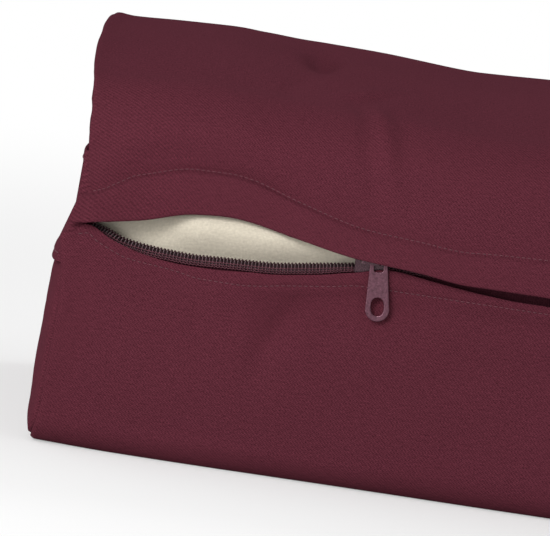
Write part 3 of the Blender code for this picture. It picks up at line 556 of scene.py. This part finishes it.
def coverStations():
    near, far = leftSeam + cover["seamRun"], rightSeam - cover["seamRun"]
    leftRows, rightRows = cover["seamRows"]
    fine = list(np.linspace(leftSeam, near, leftRows))[:-1]
    mouth = list(np.arange(near, leftEnd + cover["fineTo"], cover["fine"]))
    rest = list(np.linspace(leftEnd + cover["fineTo"] + cover["restGap"], far, cover["restRows"]))
    return fine + mouth + rest + list(np.linspace(far, rightSeam, rightRows))[1:]


def coverSection(x):
    # outer face from the folded lip round to the flap's edge, with the thickness share of each point
    foldY, foldZ = faceY, lipZ(x)
    run = bodyRun(x, 0.0, faceY + cushion["frontTuck"], faceY - cushion["upperProud"], cover["steps"])
    points = [(foldY, foldZ - drop * mm) for drop in cover["lowerFront"]]
    layers = [2.0 if drop < cover["foldDepth"] else 1.0 for drop in cover["lowerFront"]]
    start = points[-1][1]
    span = start - run[0][1]
    for i in range(1, cover["lowerRows"]):
        t = i / cover["lowerRows"]
        u = (foldZ - (start - span * t)) / (foldZ - run[0][1])
        points.append((foldY + (run[0][0] - foldY) * u * u, start - span * t))
    points += run
    seam = (flapY(x, flap["flare"]), stitchZ(x))
    edge = (flapY(x, 0.0), flapEdgeZ(x))
    points += line(run[-1], seam, cover["upperRows"])[:-1]
    layers += [1.0] * (len(points) - len(layers))
    for share in cover["hemRows"]:
        points.append((edge[0] + (seam[0] - edge[0]) * share**1.5, edge[1] + (seam[1] - edge[1]) * share))
        layers.append(2.0)
    return points, layers


# Creases as half width, depth and path, where each place of the path is (distance from the left end,
# height up the front), in mm. Past the front's upper corner the height goes on along the cloth.
creaseDepth = 1.7
creaseStart = 0.08  # share of the half wave that is left out at each end
creases = [
    (8, -2.1, [(78, 61), (98, 59), (118, 61)]),
    (16, -1, [(150, 60), (190, 52), (240, 55)]),
    (14, 0.8, [(20, 40), (50, 30), (90, 34)]),
    (18, -1.1, [(300, 60), (360, 40), (430, 46)]),
    (12, -0.8, [(250, 120), (300, 132), (380, 118)]),
    (14, -0.9, [(470, 50), (520, 66), (590, 44)]),
    (7, -0.9, [(560, 120), (600, 110), (640, 118)]),
    (3.2, -1.3, [(106, 168), (112, 150), (116, 128), (122, 107)]),
    (4.5, 1, [(111, 166), (118, 148), (121, 130), (127, 110)]),
    (3.5, -0.8, [(121, 160), (127, 140), (131, 124)]),
    (5, 0.9, [(12, 108), (22, 117), (40, 125), (68, 128), (90, 124)]),
    (4, -0.7, [(20, 112), (45, 119), (70, 121), (95, 117)]),
    (4.5, -0.9, [(100, 69), (92, 60), (86, 48), (84, 36)]),
    (6, 0.7, [(108, 66), (101, 55), (97, 42)]),
    (4, -0.4, [(57, 66), (60, 56), (64, 46)]),
    (3.5, 1, [(120, 190), (108, 176), (100, 170)]),
    (3, -1, [(86, 190), (83, 172), (80, 160)]),
    (3, -1, [(122, 186), (113, 170), (110, 160)]),
]


def creaseLift(u, v):
    lift = np.zeros_like(u)
    for wide, deep, places in creases:
        path = np.array(places) * mm
        best = np.full(u.shape, 1e9)
        fade = np.zeros_like(u)
        lengths = np.linalg.norm(np.diff(path, axis=0), axis=1)
        before = 0.0
        for a, b, size in zip(path, path[1:], lengths):
            du, dv = (b - a) / size
            t = np.clip((u - a[0]) * du + (v - a[1]) * dv, 0, size)
            gap = np.hypot(u - a[0] - du * t, v - a[1] - dv * t)
            share = (before + t) / lengths.sum()
            nearer = gap < best
            best = np.where(nearer, gap, best)
            fade = np.where(nearer, np.sin(np.pi * (creaseStart + (1 - 2 * creaseStart) * share)), fade)
            before += size
        lift += creaseDepth * deep * mm * fade * bell(best, wide * mm)
    return lift


def seamLift(grid, run, stations, lips, hemColumn):
    # grooves along the two stitch lines, the valleys beside them and the puffs of the doubled cloth
    z = grid[:, :, 2]
    below = np.arange(grid.shape[1]) < lips
    seamZ, foldZ, hem = (np.array([[size(x)] for x in stations]) for size in (lipSeamZ, lipZ, hemWidth))
    past = np.array(stations)[:, None] - leftEnd - cover["mouthEnd"]
    hemGap = run[:, hemColumn:hemColumn + 1] - run  # above the hem's stitches
    stitched = bell(z - seamZ, cover["lipGroove"]) * below + bell(hemGap, cover["hemGroove"])
    lift = -cover["groove"] * stitched
    valley = np.where(hemGap > 0, bell(hemGap, cover["valleyUp"]), bell(hemGap, cover["valleyDown"]))
    lift -= cover["valley"] * valley * (1 - cover["valleyLess"] * smooth(past / cover["mouthEnd"]))
    lift += cover["puff"] * np.sin(np.pi * np.clip((z - seamZ) / (foldZ - seamZ), 0, 1)) * below
    lift += cover["puff"] * np.sin(np.pi * np.clip(-hemGap / hem, 0, 1))
    under = bell(seamZ - z - cover["lipValleyDrop"], cover["lipValleyWide"]) * below
    return lift - cover["lipValley"] * under * smooth(past / cover["pastReach"])


def makeCover():
    # the wrap, the outer rims that the end panels are sewn to, and the faces that the tapes lie behind
    stations = coverStations()
    sections = [coverSection(x) for x in stations]
    layers = sections[0][1]
    grid = np.array([[(x, y, z) for y, z in section] for x, (section, _) in zip(stations, sections)])
    lips = len(cover["lowerFront"]) + cover["lowerRows"] - 1
    hemColumn = grid.shape[1] - len(cover["hemRows"])
    column = np.arange(grid.shape[1])
    run = runAlong(grid)
    coords = np.stack([grid[:, :, 0], run - run[:, lips:lips + 1]], axis=-1)
    normals = gridNormals(grid)
    for _ in range(cover["normalRounds"]):
        normals[:, 1:-1] = (normals[:, :-2] + 2 * normals[:, 1:-1] + normals[:, 2:]) / 4
    # height up the front, measured back from the flap's stitch line over the top
    up = run[:, hemColumn:hemColumn + 1] - run + np.array([[stitchZ(x)] for x in stations])
    lift = creaseLift(grid[:, :, 0] - leftEnd, np.where(column < lips, grid[:, :, 2], up))
    lift += seamLift(grid, run, stations, lips, hemColumn)
    seamGap = np.array([[max(0.0, fromSeam(x))] for x in stations])
    broad, small = waves(grid, cover["broadScale"], 1), waves(grid, cover["smallScale"], 2)
    lift += cover["broad"] * broad + cover["small"] * small
    across = np.broadcast_to(cover["puckerAcross"] * seamGap, run.shape)
    folds = np.stack([run, across, np.zeros_like(run)], axis=-1)
    pucker = waves(folds, 1 / mm / cover["puckerWave"], 3)
    fade = np.exp(-seamGap / cover["puckerReach"]) * np.minimum(seamGap / cover["puckerFrom"], 1)
    lift += cover["pucker"] * pucker * fade
    # the lip, the mouth and the base stay where the solids are
    hold = np.clip(np.minimum(run, run[:, -1:] - run) / cover["edgeHold"], cover["held"], 1.0)
    hold = np.where((grid[:, :, 2] < cover["baseHold"]) & (column > lips), cover["held"], hold)
    close = (column > lips) & (column < hemColumn - cover["upperRows"])
    most, least = cover["inward"], cover["outward"]
    lift = np.where(close & (lift < 0), -most * (1 - np.exp(lift / most)), lift)
    tabZone = (column < lips) & (grid[:, :, 2] > cover["tabFrom"])
    lift = np.where(tabZone & (lift > 0), least * (1 - np.exp(-lift / least)), lift)
    lift = lift * hold - cover["seamCurl"] * bell(seamGap, cover["seamWide"])
    grid = grid + normals * lift[:, :, None]
    grid[:, :, 2] = np.maximum(grid[:, :, 2], lie["floor"] * mm)
    mesh = gridMesh("coverBody", grid, coords)
    piece = addPiece("coverBody", mesh, twill, "cover_body")
    group = piece.vertex_groups.new(name="layers")
    for j, count in enumerate(layers):
        group.add([i * grid.shape[1] + j for i in range(grid.shape[0])], count / 2, "REPLACE")
    thicken(piece, 2 * cloth["fabric"], "layers", rounds=1)
    rims = {-1: (grid[0], layers), 1: (grid[-1], layers)}
    laid = {"stations": np.array(stations), -1: grid[:, :lips], 1: grid[:, hemColumn - cover["laidRows"]:]}
    return piece, rims, laid


coverBody, rims, laid = makeCover()
print("cover made")


def behindCover(x, z, side):
    # the depth just behind the cover's two layers at a place on the front
    row = laid[side][np.abs(laid["stations"] - x).argmin()]
    order = np.argsort(row[:, 2])
    return float(np.interp(z, row[order, 2], row[order, 1])) + 2 * cloth["fabric"] + 2 * cloth["clear"]


def surface(thing):
    mesh = thing.data
    return BVHTree.FromPolygons([v.co for v in mesh.vertices], [face.vertices for face in mesh.polygons])


def evenLoop(points, count):
    # the closed loop through the points at even steps
    loop = np.vstack([points, points[:1]])
    run = runAlong(loop)
    at = np.linspace(0, run[-1], count, endpoint=False)
    return np.stack([np.interp(at, run, loop[:, k]) for k in range(loop.shape[1])], axis=1), at


def insetLoop(points, gaps):
    along = unit(np.roll(points, -1, axis=0) - np.roll(points, 1, axis=0))
    return points + np.asarray(gaps)[:, None] * np.stack([-along[:, 1], along[:, 0]], axis=1)


# End panels

endPanel = {
    "rings": [1, 1, 0.996, 0.988, 0.978, 0.966, 0.952, 0.935, 0.915, 0.89, 0.86, 0.82, 0.77, 0.71, 0.64,
              0.56, 0.47, 0.37, 0.26, 0.14, 0],
    "around": 260, "sagScale": 22,
    **inMm(gap=0.25, tuck=3, pucker=1.3, puckerWave=7.5, puckerRun=30, puckerReach=11, puckerFrom=2,
           sagFrom=9),
}


def panelMesh(name, side, rim, gaps, count, seam, bulge, pucker, tuck):
    # a panel inside a rim, bulged and puckered, with its edge tucked in at the seam
    loop, run = evenLoop(insetLoop(rim[:, 1:], gaps), count)
    low, high = loop.min(axis=0), loop.max(axis=0)
    centre = (low + high) / 2
    reach = (high - low).min() / 2
    sag = endPanel["sagScale"]
    rows = []
    for share in endPanel["rings"]:
        row = []
        for k, (y, z) in enumerate(centre + (loop - centre) * share):
            out = (bulge - sinkAt(side, z)) * math.sqrt(max(0.0, 1 - share**6))
            inward = (1 - share) * reach
            fold = wave3(run[k] / endPanel["puckerWave"], inward / endPanel["puckerRun"], 0, 5 + side)
            fade = math.exp(-inward / endPanel["puckerReach"]) * min(inward / endPanel["puckerFrom"], 1)
            out += pucker * fold * fade
            dent = wave3(y * sag, z * sag, 0, 9 + side) * min(inward / endPanel["sagFrom"], 1)
            out += 0.5 * pucker * dent
            row.append((seam + side * out, y, z))
        rows.append(row)
    grid = np.array(rows)
    grid[0, :, 0] = seam - side * tuck
    return gridMesh(name, grid, grid[:, :, 1:], closed=True, flip=side < 0)


def makeEnd(side):
    rim, layers = rims[side]
    gaps = [n * cloth["fabric"] + endPanel["gap"] for n in layers]
    name = "coverEnd" + sideWord[side]
    mesh = panelMesh(name, side, rim, gaps, endPanel["around"], seams[side],
                     cushion["endBulge"] + cloth["fabric"], endPanel["pucker"], endPanel["tuck"])
    piece = addPiece(name, mesh, twill, "cover_end_" + sideWord[side].lower())
    thicken(piece, cloth["fabric"])
    return piece


ends = {side: makeEnd(side) for side in (-1, 1)}
print("end panels made")

# Straps

strap = {
    "along": 90, "around": 36, "probes": 7, "bedRounds": 3, "away": 0.5, "rippleScale": (40, 2),
    "edge": 0.16, "face": 0.45,  # how square the section is, 1 for round
    **inMm(width=43, thick=1.8, drop=2, inset=1.6, loose=0.4, gap=0.3, dive=2.2, diveReach=1.6, ripple=0.25,
           stitchInset=3.2, turnedIn=4, missed=1),
}
strapLow = sinkTo - strap["drop"] - strap["width"]


def strapBed(side, ys):
    # how far out the end panel lies under the strap, at some heights of each place along it
    tree = surface(ends[side])
    count = strap["probes"]
    bed = []
    for y in ys:
        hits = []
        for z in np.linspace(strapLow, strapLow + strap["width"], count):
            hit = tree.ray_cast(Vector((side * strap["away"], y, z)), Vector((-side, 0, 0)))[0]
            hits.append(side * hit.x if hit else rightSeam - strap["missed"])
        flat = np.polyval(np.polyfit(range(count), hits, 2), range(count))
        bed.append(flat + max(np.array(hits) - flat))
    bed = np.array(bed)
    for _ in range(strap["bedRounds"]):
        bed[1:-1] = (bed[:-2] + 2 * bed[1:-1] + bed[2:]) / 4
    return bed


def makeHandle(side):
    front = faceY + cloth["fabric"] + strap["inset"]
    back = (cushion["width"] / 2 - cushion["backBulge"] - cushion["endPull"] - cloth["fabric"]
            - strap["inset"])
    centre, half = (front + back) / 2, (back - front) / 2
    shares = np.sin(np.linspace(-math.pi / 2, math.pi / 2, strap["along"]))
    turn = 2 * math.pi * np.arange(strap["around"]) / strap["around"]
    across, up = (0.5 + 0.5 * np.sign(part) * abs(part) ** strap[power]
                  for part, power in ((np.cos(turn), "edge"), (np.sin(turn), "face")))
    heights = np.arange(strap["probes"])
    alongScale, acrossScale = strap["rippleScale"]
    rows = []
    for share, under in zip(shares, strapBed(side, centre + half * shares)):
        y = centre + half * share
        dive = strap["dive"] * bell((1 - abs(share)) * half, strap["diveReach"])
        out = np.interp(across * heights[-1], heights, under) + strap["gap"] + up * strap["thick"]
        out += strap["loose"] * (1 - share**2) - dive
        for k, t in enumerate(across):
            ripple = strap["ripple"] * wave3(y * alongScale, t * acrossScale, side, 6)
            rows.append((side * (out[k] + ripple), y, strapLow + t * strap["width"]))
    grid = np.array(rows).reshape(len(shares), -1, 3)
    name = "handle" + sideWord[side]
    mesh = gridMesh(name, grid, grid[:, :, 1:] - (0, strapLow), closed=True, flip=side < 0)
    bm = bmesh.new()
    bm.from_mesh(mesh)
    bmesh.ops.holes_fill(bm, edges=[edge for edge in bm.edges if edge.is_boundary])
    bm.to_mesh(mesh)
    bm.free()
    piece = addPiece(name, mesh, webbing, "handle_" + sideWord[side].lower())
    return piece


handles = {side: makeHandle(side) for side in (-1, 1)}
settle(coverBody)
for piece in (*ends.values(), *handles.values()):
    settle(piece, lie["endHold"])
print("handles made")

# Inner cushion

inner = {
    "steps": (4, 12, 10, 6, 20),
    "restRows": 38, "frontRows": 90, "waveScale": 60, "mouthScale": (90, 0, 160), "soften": 9,
    "softenRows": 60, "bulgeSkew": 1.3, "bulgeFlat": 0.8, "panelAround": 120,
    **inMm(
        inset=1.2, seamStep=4.7, fine=2.5, fineTo=150, sink=0.35, wave=0.3, mouthEdge=3, rimBulge=1.2,
        rimFull=7, mouthBulge=7.6, throatFade=32, panelPucker=0.25, panelGap=0.3, panelFree=0.4, leastGap=0.1,
        bulgeFrom=37, bulgeRun=22,  # clear of the slider at its left stop
    ),
}
innerBulge = cushion["endBulge"] + inner["seamStep"] - cloth["fabric"] - inner["panelFree"]


def addLiner(name, mesh, node):
    piece = addPiece(name, mesh, calico, node)
    thicken(piece, cloth["liner"])
    settle(piece)


def mouthSpan(stations):
    # the heights of the two coils, the upper one's softened near the mouth
    lows, highs = (np.array([height(x) for x in stations]) for height in (lowerTipsZ, upperTipsZ))
    highs = np.maximum(highs, lows + inner["leastGap"])
    near, rows = inner["soften"], inner["softenRows"]
    kernel = np.hanning(2 * near + 1)
    highs[:rows] = np.convolve(np.pad(highs[:rows], near, mode="edge"), kernel / kernel.sum(), "valid")
    return lows[:, None], highs[:, None]


def makeLiner():
    left, right = leftSeam + inner["seamStep"], rightSeam - inner["seamStep"]
    middle = leftEnd + inner["fineTo"]
    stations = list(np.arange(left, middle, inner["fine"]))
    stations += list(np.linspace(middle, right, inner["restRows"]))
    frontY = faceY + zipper["linerFront"]
    rows = []
    for x in stations:
        run = bodyRun(x, inner["inset"], frontY, frontY, inner["steps"])
        run += line(run[-1], run[0], inner["frontRows"])[:-1]
        rows.append([(x, y, z) for y, z in run])
    grid = np.array(rows)
    coords = np.stack([grid[:, :, 0], runAlong(grid)], axis=-1)
    normals = gridNormals(grid, closed=True)
    xs, z = grid[:, :1, 0], grid[:, :, 2]
    low, high = mouthSpan(stations)
    edge = inner["mouthEdge"]
    past = smooth((xs - leftEnd - inner["bulgeFrom"]) / inner["bulgeRun"])
    bulge = np.sin(np.pi * (z - low + edge) / (high - low + 2 * edge))
    bulge = bulge * smooth((high - low) / inner["rimFull"])
    inside = np.clip((z - low) / (high - low), 0, 1)
    mouth = np.sin(np.pi * inside ** inner["bulgeSkew"]) ** inner["bulgeFlat"]
    mouth = mouth * smooth((throatX - xs) / inner["throatFade"])
    out = past * (inner["rimBulge"] * bulge + inner["mouthBulge"] * mouth)
    out += inner["wave"] * waves(grid, inner["mouthScale"], 12)
    front = np.arange(grid.shape[1]) > grid.shape[1] - inner["frontRows"]
    near = front & (z > low - edge) & (z < high + edge)
    lift = inner["wave"] * waves(grid, inner["waveScale"], 8) - inner["sink"] + np.where(near, out, 0)
    grid += normals * lift[:, :, None]
    addLiner("linerBody", gridMesh("linerBody", grid, coords, closed=True), "liner_body")
    for side, rim in ((-1, grid[0]), (1, grid[-1])):
        gaps = [cloth["liner"] + inner["panelGap"]] * grid.shape[1]
        name = "linerEnd" + sideWord[side]
        mesh = panelMesh(name, side, rim, gaps, inner["panelAround"], rim[0, 0], innerBulge,
                         inner["panelPucker"], 0.0)
        addLiner(name, mesh, "liner_end_" + sideWord[side].lower())


makeLiner()

batting = {"voxel": 6 * mm, "soften": 0.5, "rounds": 4, "wave": 0.5 * mm, "waveScale": 50}


def makeBatts():
    for number in range(1, 6):
        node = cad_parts[f"batt_{number}"]
        mesh = node.data.copy()
        mesh.transform(node.matrix_world)
        mesh.materials.clear()
        piece = addPiece(f"batting{number}", mesh, gloss["cottonBatting"], f"batt_{number}")
        adjust(piece.modifiers.new("even", "REMESH"), mode="VOXEL", voxel_size=batting["voxel"])
        soften = piece.modifiers.new("soften", "SMOOTH")
        adjust(soften, factor=batting["soften"], iterations=batting["rounds"])
        applyModifiers(piece)
        for vertex in piece.data.vertices:
            x, y = vertex.co.x * batting["waveScale"], vertex.co.y * batting["waveScale"]
            vertex.co.z += batting["wave"] * wave3(x, y, number, 4)
        settle(piece)


makeBatts()
print("inner cushion made")

# Zip tapes and coils


def tipsZ(side, x):
    return upperTipsZ(x) if side > 0 else lowerTipsZ(x)


def chainLine(side):
    xs = np.arange(zipper["coilLeft"], zipper["sliderX"] + zipper["sliderLength"], coil["step"])
    xs = np.append(xs, zipper["coilRight"])
    zs = np.array([tipsZ(side, x) for x in xs])
    return xs, zs, runAlong(np.stack([xs, zs], axis=1))


def chainPoint(side, chain, distance, behind):
    # places behind the coil's tips, square to the chain
    xs, zs, along = chain
    before, after = distance - coil["step"], distance + coil["step"]
    x = np.interp(distance, along, xs)
    z = np.interp(distance, along, zs)
    behind = behind * (1 + coil["spread"] * np.clip((throatX - x) / coil["spreadRun"], 0, 1))
    dx = np.interp(after, along, xs) - np.interp(before, along, xs)
    dz = np.interp(after, along, zs) - np.interp(before, along, zs)
    size = np.hypot(dx, dz)
    square = smooth(distance / coil["endSquare"])
    return x - side * behind * dz / size * square, z + side * behind * dx / size


def tubeGrid(points, radius, sides, ref=(1.0, 0.0, 0.0)):
    points = np.asarray(points)
    tangent = unit(np.gradient(points, axis=0))
    first = unit(np.array(ref) - tangent * (tangent @ np.array(ref))[:, None])
    second = np.cross(tangent, first)
    turn = (np.arange(sides) * 2 * math.pi / sides)[None, :, None]
    grid = points[:, None] + (first[:, None] * np.cos(turn) + second[:, None] * np.sin(turn)) * radius
    around = turn[:, :, 0] * radius
    return grid, np.stack(np.broadcast_arrays(runAlong(points)[:, None], around), axis=-1)


def joinGrids(name, grids):
    # several tubes as one mesh, with their ends closed
    faces = []
    base = 0
    for grid, coords in grids:
        rows, cols = grid.shape[:2]
        last = base + (rows - 1) * cols
        faces += quadFaces(rows, cols, True, base).tolist()
        faces += [list(reversed(range(base, base + cols))), list(range(last, last + cols))]
        base = last + cols
    verts = np.concatenate([grid.reshape(-1, 3) for grid, coords in grids])
    return flatMesh(name, verts, faces, np.concatenate([coords.reshape(-1, 2) for grid, coords in grids]))


coil = {
    # share of a pitch from the tip, mm behind the tips, share of the depth from the front leg to the rear
    "loop": [(-0.28, 2.9, 0), (-0.2, 1.2, 0), (-0.09, 0.42, 0.12), (0, 0.32, 0.5), (0.09, 0.42, 0.88),
             (0.2, 1.2, 1), (0.28, 2.9, 1), (0.5, 3.25, 0.5)],
    "sides": 6, "spread": 0.36, "slant": 0.18, "threadSides": 4, "threadRows": [1.7, 2.4, 3.0],
    "threadFrom": 0.22, **inMm(wire=0.32, step=0.5, endSquare=6, spreadRun=14, thread=0.15, threadGap=0.06),
}


def makeCoil(side):
    chain = chainLine(side)
    xs, zs, along = chain
    meshed = float(np.interp(zipper["sliderX"] + zipper["sliderLength"] / 2, xs, along))
    phase = 0.5 if side > 0 else 0.0
    first = math.ceil(-meshed / zipper["pitch"] - phase) + 1
    last = math.floor((along[-1] - meshed) / zipper["pitch"] - phase) - 1
    tips = meshed + (np.arange(first, last + 1) + phase) * zipper["pitch"]
    loop = np.array(coil["loop"])
    distance = (tips[:, None] + loop[None, :, 0] * zipper["pitch"]).ravel()
    behind = np.tile(loop[:, 1] * mm, len(tips))
    frontLeg = faceY + zipper["coilFront"] + coil["wire"]
    rearLeg = faceY + zipper["coilBack"] - coil["wire"]
    depth = frontLeg + (rearLeg - frontLeg) * np.tile(loop[:, 2], len(tips))
    x, z = chainPoint(side, chain, distance, behind)
    wire = tubeGrid(np.stack([x, depth, z], axis=1), coil["wire"], coil["sides"])
    name = "zipCoil" + halfWord[side]
    piece = addPiece(name, joinGrids(name, [wire]), gloss["zipNylon"],
                     "zip_coil_" + halfWord[side].lower())
    settle(piece, lie["zipHold"])
    rows = []
    # slanted rows of thread across the coil, lighter than the coil: real stitching that also carries a
    # painted highlight for the glints on its turns
    for behindRow in coil["threadRows"]:
        beats = np.arange(len(tips) * 4)
        distance = tips[0] + (beats / 4 - coil["threadFrom"]) * zipper["pitch"]
        sway = np.where(beats % 4 == 0, -1.0, 1.0)
        depth = frontLeg + np.where(beats % 2 == 0, sway, 0.0) * (coil["wire"] + coil["threadGap"])
        x, z = chainPoint(side, chain, distance, (behindRow + coil["slant"] * sway) * mm)
        points = np.stack([x, depth, z], axis=1)
        rows.append(tubeGrid(points, coil["thread"], coil["threadSides"], ref=(0.0, 0.0, 1.0)))
    name = "coilThreadAndGlint" + halfWord[side]
    settle(addPiece(name, joinGrids(name, rows), gloss["coilThreadAndGlint"]), lie["zipHold"])


tape = inMm(tuck=0.9, flat=7.4, slope=5, seam=3, step=3, stepTo=200)
tape.update(restRows=60, rows=(5, 6, 3))


def makeTape(side):
    middle = leftEnd + tape["stepTo"]
    stations = list(np.arange(zipper["tapeLeft"], middle, tape["step"]))
    stations += list(np.linspace(middle, zipper["tapeRight"], tape["restRows"]))
    depth = faceY + zipper["tapeFront"]
    rows = []
    for x in stations:
        tips = tipsZ(side, x)
        flatEnd = tips + side * tape["flat"]
        if side > 0:
            seamZ = max(stitchZ(x), flatEnd + tape["slope"] / 2)
        else:
            seamZ = min(lipZ(x), flatEnd) - tape["slope"]
        endZ = seamZ + side * tape["seam"]
        knots = [(depth, tips + side * tape["tuck"]), (depth, flatEnd)]
        knots += [(behindCover(x, z, side), z) for z in (seamZ, endZ)]
        points = [knots[0]]
        for a, b, count in zip(knots, knots[1:], tape["rows"]):
            points += line(a, b, count)
        rows.append([(x, y, z) for y, z in points])
    grid = np.array(rows)
    run = runAlong(grid)
    coords = np.stack([grid[:, :, 0], run], axis=-1)
    name = "zipTape" + halfWord[side]
    mesh = gridMesh(name, grid, coords, flip=side > 0)
    piece = addPiece(name, mesh, tapeWeave, "zip_tape_" + halfWord[side].lower())
    thicken(piece, zipper["tapeThick"])
    settle(piece, lie["zipHold"])


for side in (-1, 1):
    makeTape(side)
    makeCoil(side)
print("zip made")

# Stitches

stitch = {
    # share of the length from its middle, height over the cloth in mm
    "arch": [(-0.5, -0.28), (-0.36, 0.06), (0, 0.18), (0.36, 0.06), (0.5, -0.28)],
    "sides": 5, "ref": (0.3, 0.5, 0.8), "away": 0.2, "strapAway": 0.4,
    **inMm(pitch=2.1, length=1.45, wire=0.2, hemGap=3, lipGap=6, rightGap=3, frontGap=5, backGap=12),
}


def stitchRow(name, place, start, end, tree, direction):
    # stitches along a line, each one laid on the cloth under it
    grids = []
    for n in range(int((end - start) / stitch["pitch"])):
        centre = start + (n + 0.5) * stitch["pitch"]
        points = []
        for t, lift in stitch["arch"]:
            origin = Vector(settled(place(centre + t * stitch["length"])))
            hit, normal = tree.ray_cast(origin, Vector(direction))[:2]
            if hit is None:
                break
            points.append(tuple(hit + normal * lift * mm))
        if len(points) == len(stitch["arch"]):
            grids.append(tubeGrid(points, stitch["wire"], stitch["sides"], stitch["ref"]))
    addPiece(name, joinGrids(name, grids), gloss["sewingThread"])


coverSkin = surface(coverBody)
for name, height, gap in (("hemStitches", stitchZ, "hemGap"), ("lipStitches", lipSeamZ, "lipGap")):
    stitchRow(name, lambda x: (x, -stitch["away"], height(x)), leftSeam + stitch[gap],
              rightSeam - stitch["rightGap"], coverSkin, (0, 1, 0))
for side, handle in handles.items():
    skin = surface(handle)
    for edge, z in (("Low", strapLow + strap["stitchInset"]),
                    ("High", strapLow + strap["width"] - strap["stitchInset"])):
        name = "strap" + sideWord[side] + edge + "Stitches"
        stitchRow(name, lambda y: (side * stitch["strapAway"], y, z), faceY + stitch["frontGap"],
                  cushion["width"] / 2 - stitch["backGap"], skin, (-side, 0, 0))
print("stitches made")

# Slider, pull tab and stops keep their solids

paints = {
    "zip_slider_body": "sliderPaint", "zip_pull_tab": "tabPaint", "zip_top_stop_lower": "stopPaint",
    "zip_top_stop_upper": "stopPaint", "zip_bottom_stop": "stopPaint",
}
for node, paint in paints.items():
    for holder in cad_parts[node].material_slots:
        holder.material = gloss[paint]

# Camera, at the photograph's angle

camera = {
    "target": (-243.25 * mm, -144.6 * mm, 79.65 * mm), "azimuth": 1.5, "elevation": 5.5, "roll": 8.42,
    "distance": 3.0, "pixelsPerMetre": 2675.0, "frameWidth": 550,
    "sensor": 36.0, "near": 0.05, "far": 60.0,
}


def makeCamera():
    data = bpy.data.cameras.new("camera")
    focal = camera["distance"] * camera["pixelsPerMetre"] / camera["frameWidth"] * camera["sensor"]
    adjust(data, sensor_width=camera["sensor"], lens=focal, clip_start=camera["near"],
           clip_end=camera["far"])
    eye = addObject("camera", data)
    a, e = math.radians(camera["azimuth"]), math.radians(camera["elevation"])
    out = Vector((math.sin(a) * math.cos(e), -math.cos(a) * math.cos(e), math.sin(e)))
    turn = (-out).to_track_quat("-Z", "Y").to_matrix().to_4x4()
    roll = Matrix.Rotation(math.radians(camera["roll"]), 4, "Z")
    eye.matrix_world = Matrix.Translation(Vector(camera["target"]) + out * camera["distance"]) @ turn @ roll
    scene.camera = eye


makeCamera()

# Floor, world and lamps

studio = {
    "world": 0.6, "floor": (0.9, 0.9, 0.9), "clear": 0.4, "clearFrom": 0.55, "clearTo": 1.4,
    "lamps": {
        "key": {"energy": 50.0, "size": 1.0, "place": (-1.1, -2.4, 1.35)},
        "fill": {"energy": 9.0, "size": 0.8, "place": (-1.3, -1.6, 0.2)},
        "back": {"energy": 16.0, "size": 0.9, "place": (1.5, 1.9, 1.7)},
    },
    "target": (0.0, 0.0, 0.07),
}


def makeFloor():
    bm = bmesh.new()
    bmesh.ops.create_grid(bm, x_segments=2, y_segments=2, size=8.0)
    mesh = bpy.data.meshes.new("floor")
    bm.to_mesh(mesh)
    bm.free()
    floor = addObject("floor", mesh)
    material, tree, shader = nodeKit("paleFloor")
    colour = (*studio["floor"], 1.0)
    feed(shader, {"Base Color": colour, "Roughness": 1.0, "Specular IOR Level": 0.0})
    place = addNode(tree, "TexCoord").outputs["Object"]
    away = addNode(tree, "VectorMath", {0: place}, operation="LENGTH").outputs["Value"]
    inputs = {"Value": away, "From Min": studio["clearFrom"], "From Max": studio["clearTo"],
              "To Min": studio["clear"]}
    far = addNode(tree, "MapRange", inputs, interpolation_type="SMOOTHSTEP")
    seen = addNode(tree, "LightPath").outputs["Is Camera Ray"]
    share = math2("MULTIPLY", far.outputs[0], seen)
    white = addNode(tree, "Emission", {"Color": (1, 1, 1, 1)})
    blend = addNode(tree, "MixShader", {"Fac": share, 1: shader.outputs[0], 2: white.outputs[0]})
    tree.links.new(blend.outputs[0], tree.nodes["Material Output"].inputs["Surface"])
    mesh.materials.append(material)


def areaLamp(name, place, **settings):
    lamp = addObject(name, adjust(bpy.data.lights.new(name, "AREA"), shape="DISK", **settings))
    lamp.location = place
    lamp.rotation_euler = (Vector(studio["target"]) - Vector(place)).to_track_quat("-Z", "Y").to_euler()


def makeWorld():
    world = bpy.data.worlds.new("studio")
    scene.world = world
    world.use_nodes = True
    tree = world.node_tree
    seen = addNode(tree, "LightPath").outputs["Is Camera Ray"]
    level = math2("ADD", math2("MULTIPLY", seen, 1.0 - studio["world"]), studio["world"])
    feed(tree.nodes["Background"], {"Color": (1, 1, 1, 1), "Strength": level})


makeFloor()
makeWorld()
for name, lamp in studio["lamps"].items():
    areaLamp(name, **lamp)
scene.view_settings.view_transform = "Standard"
print("camera, floor and lamps made")
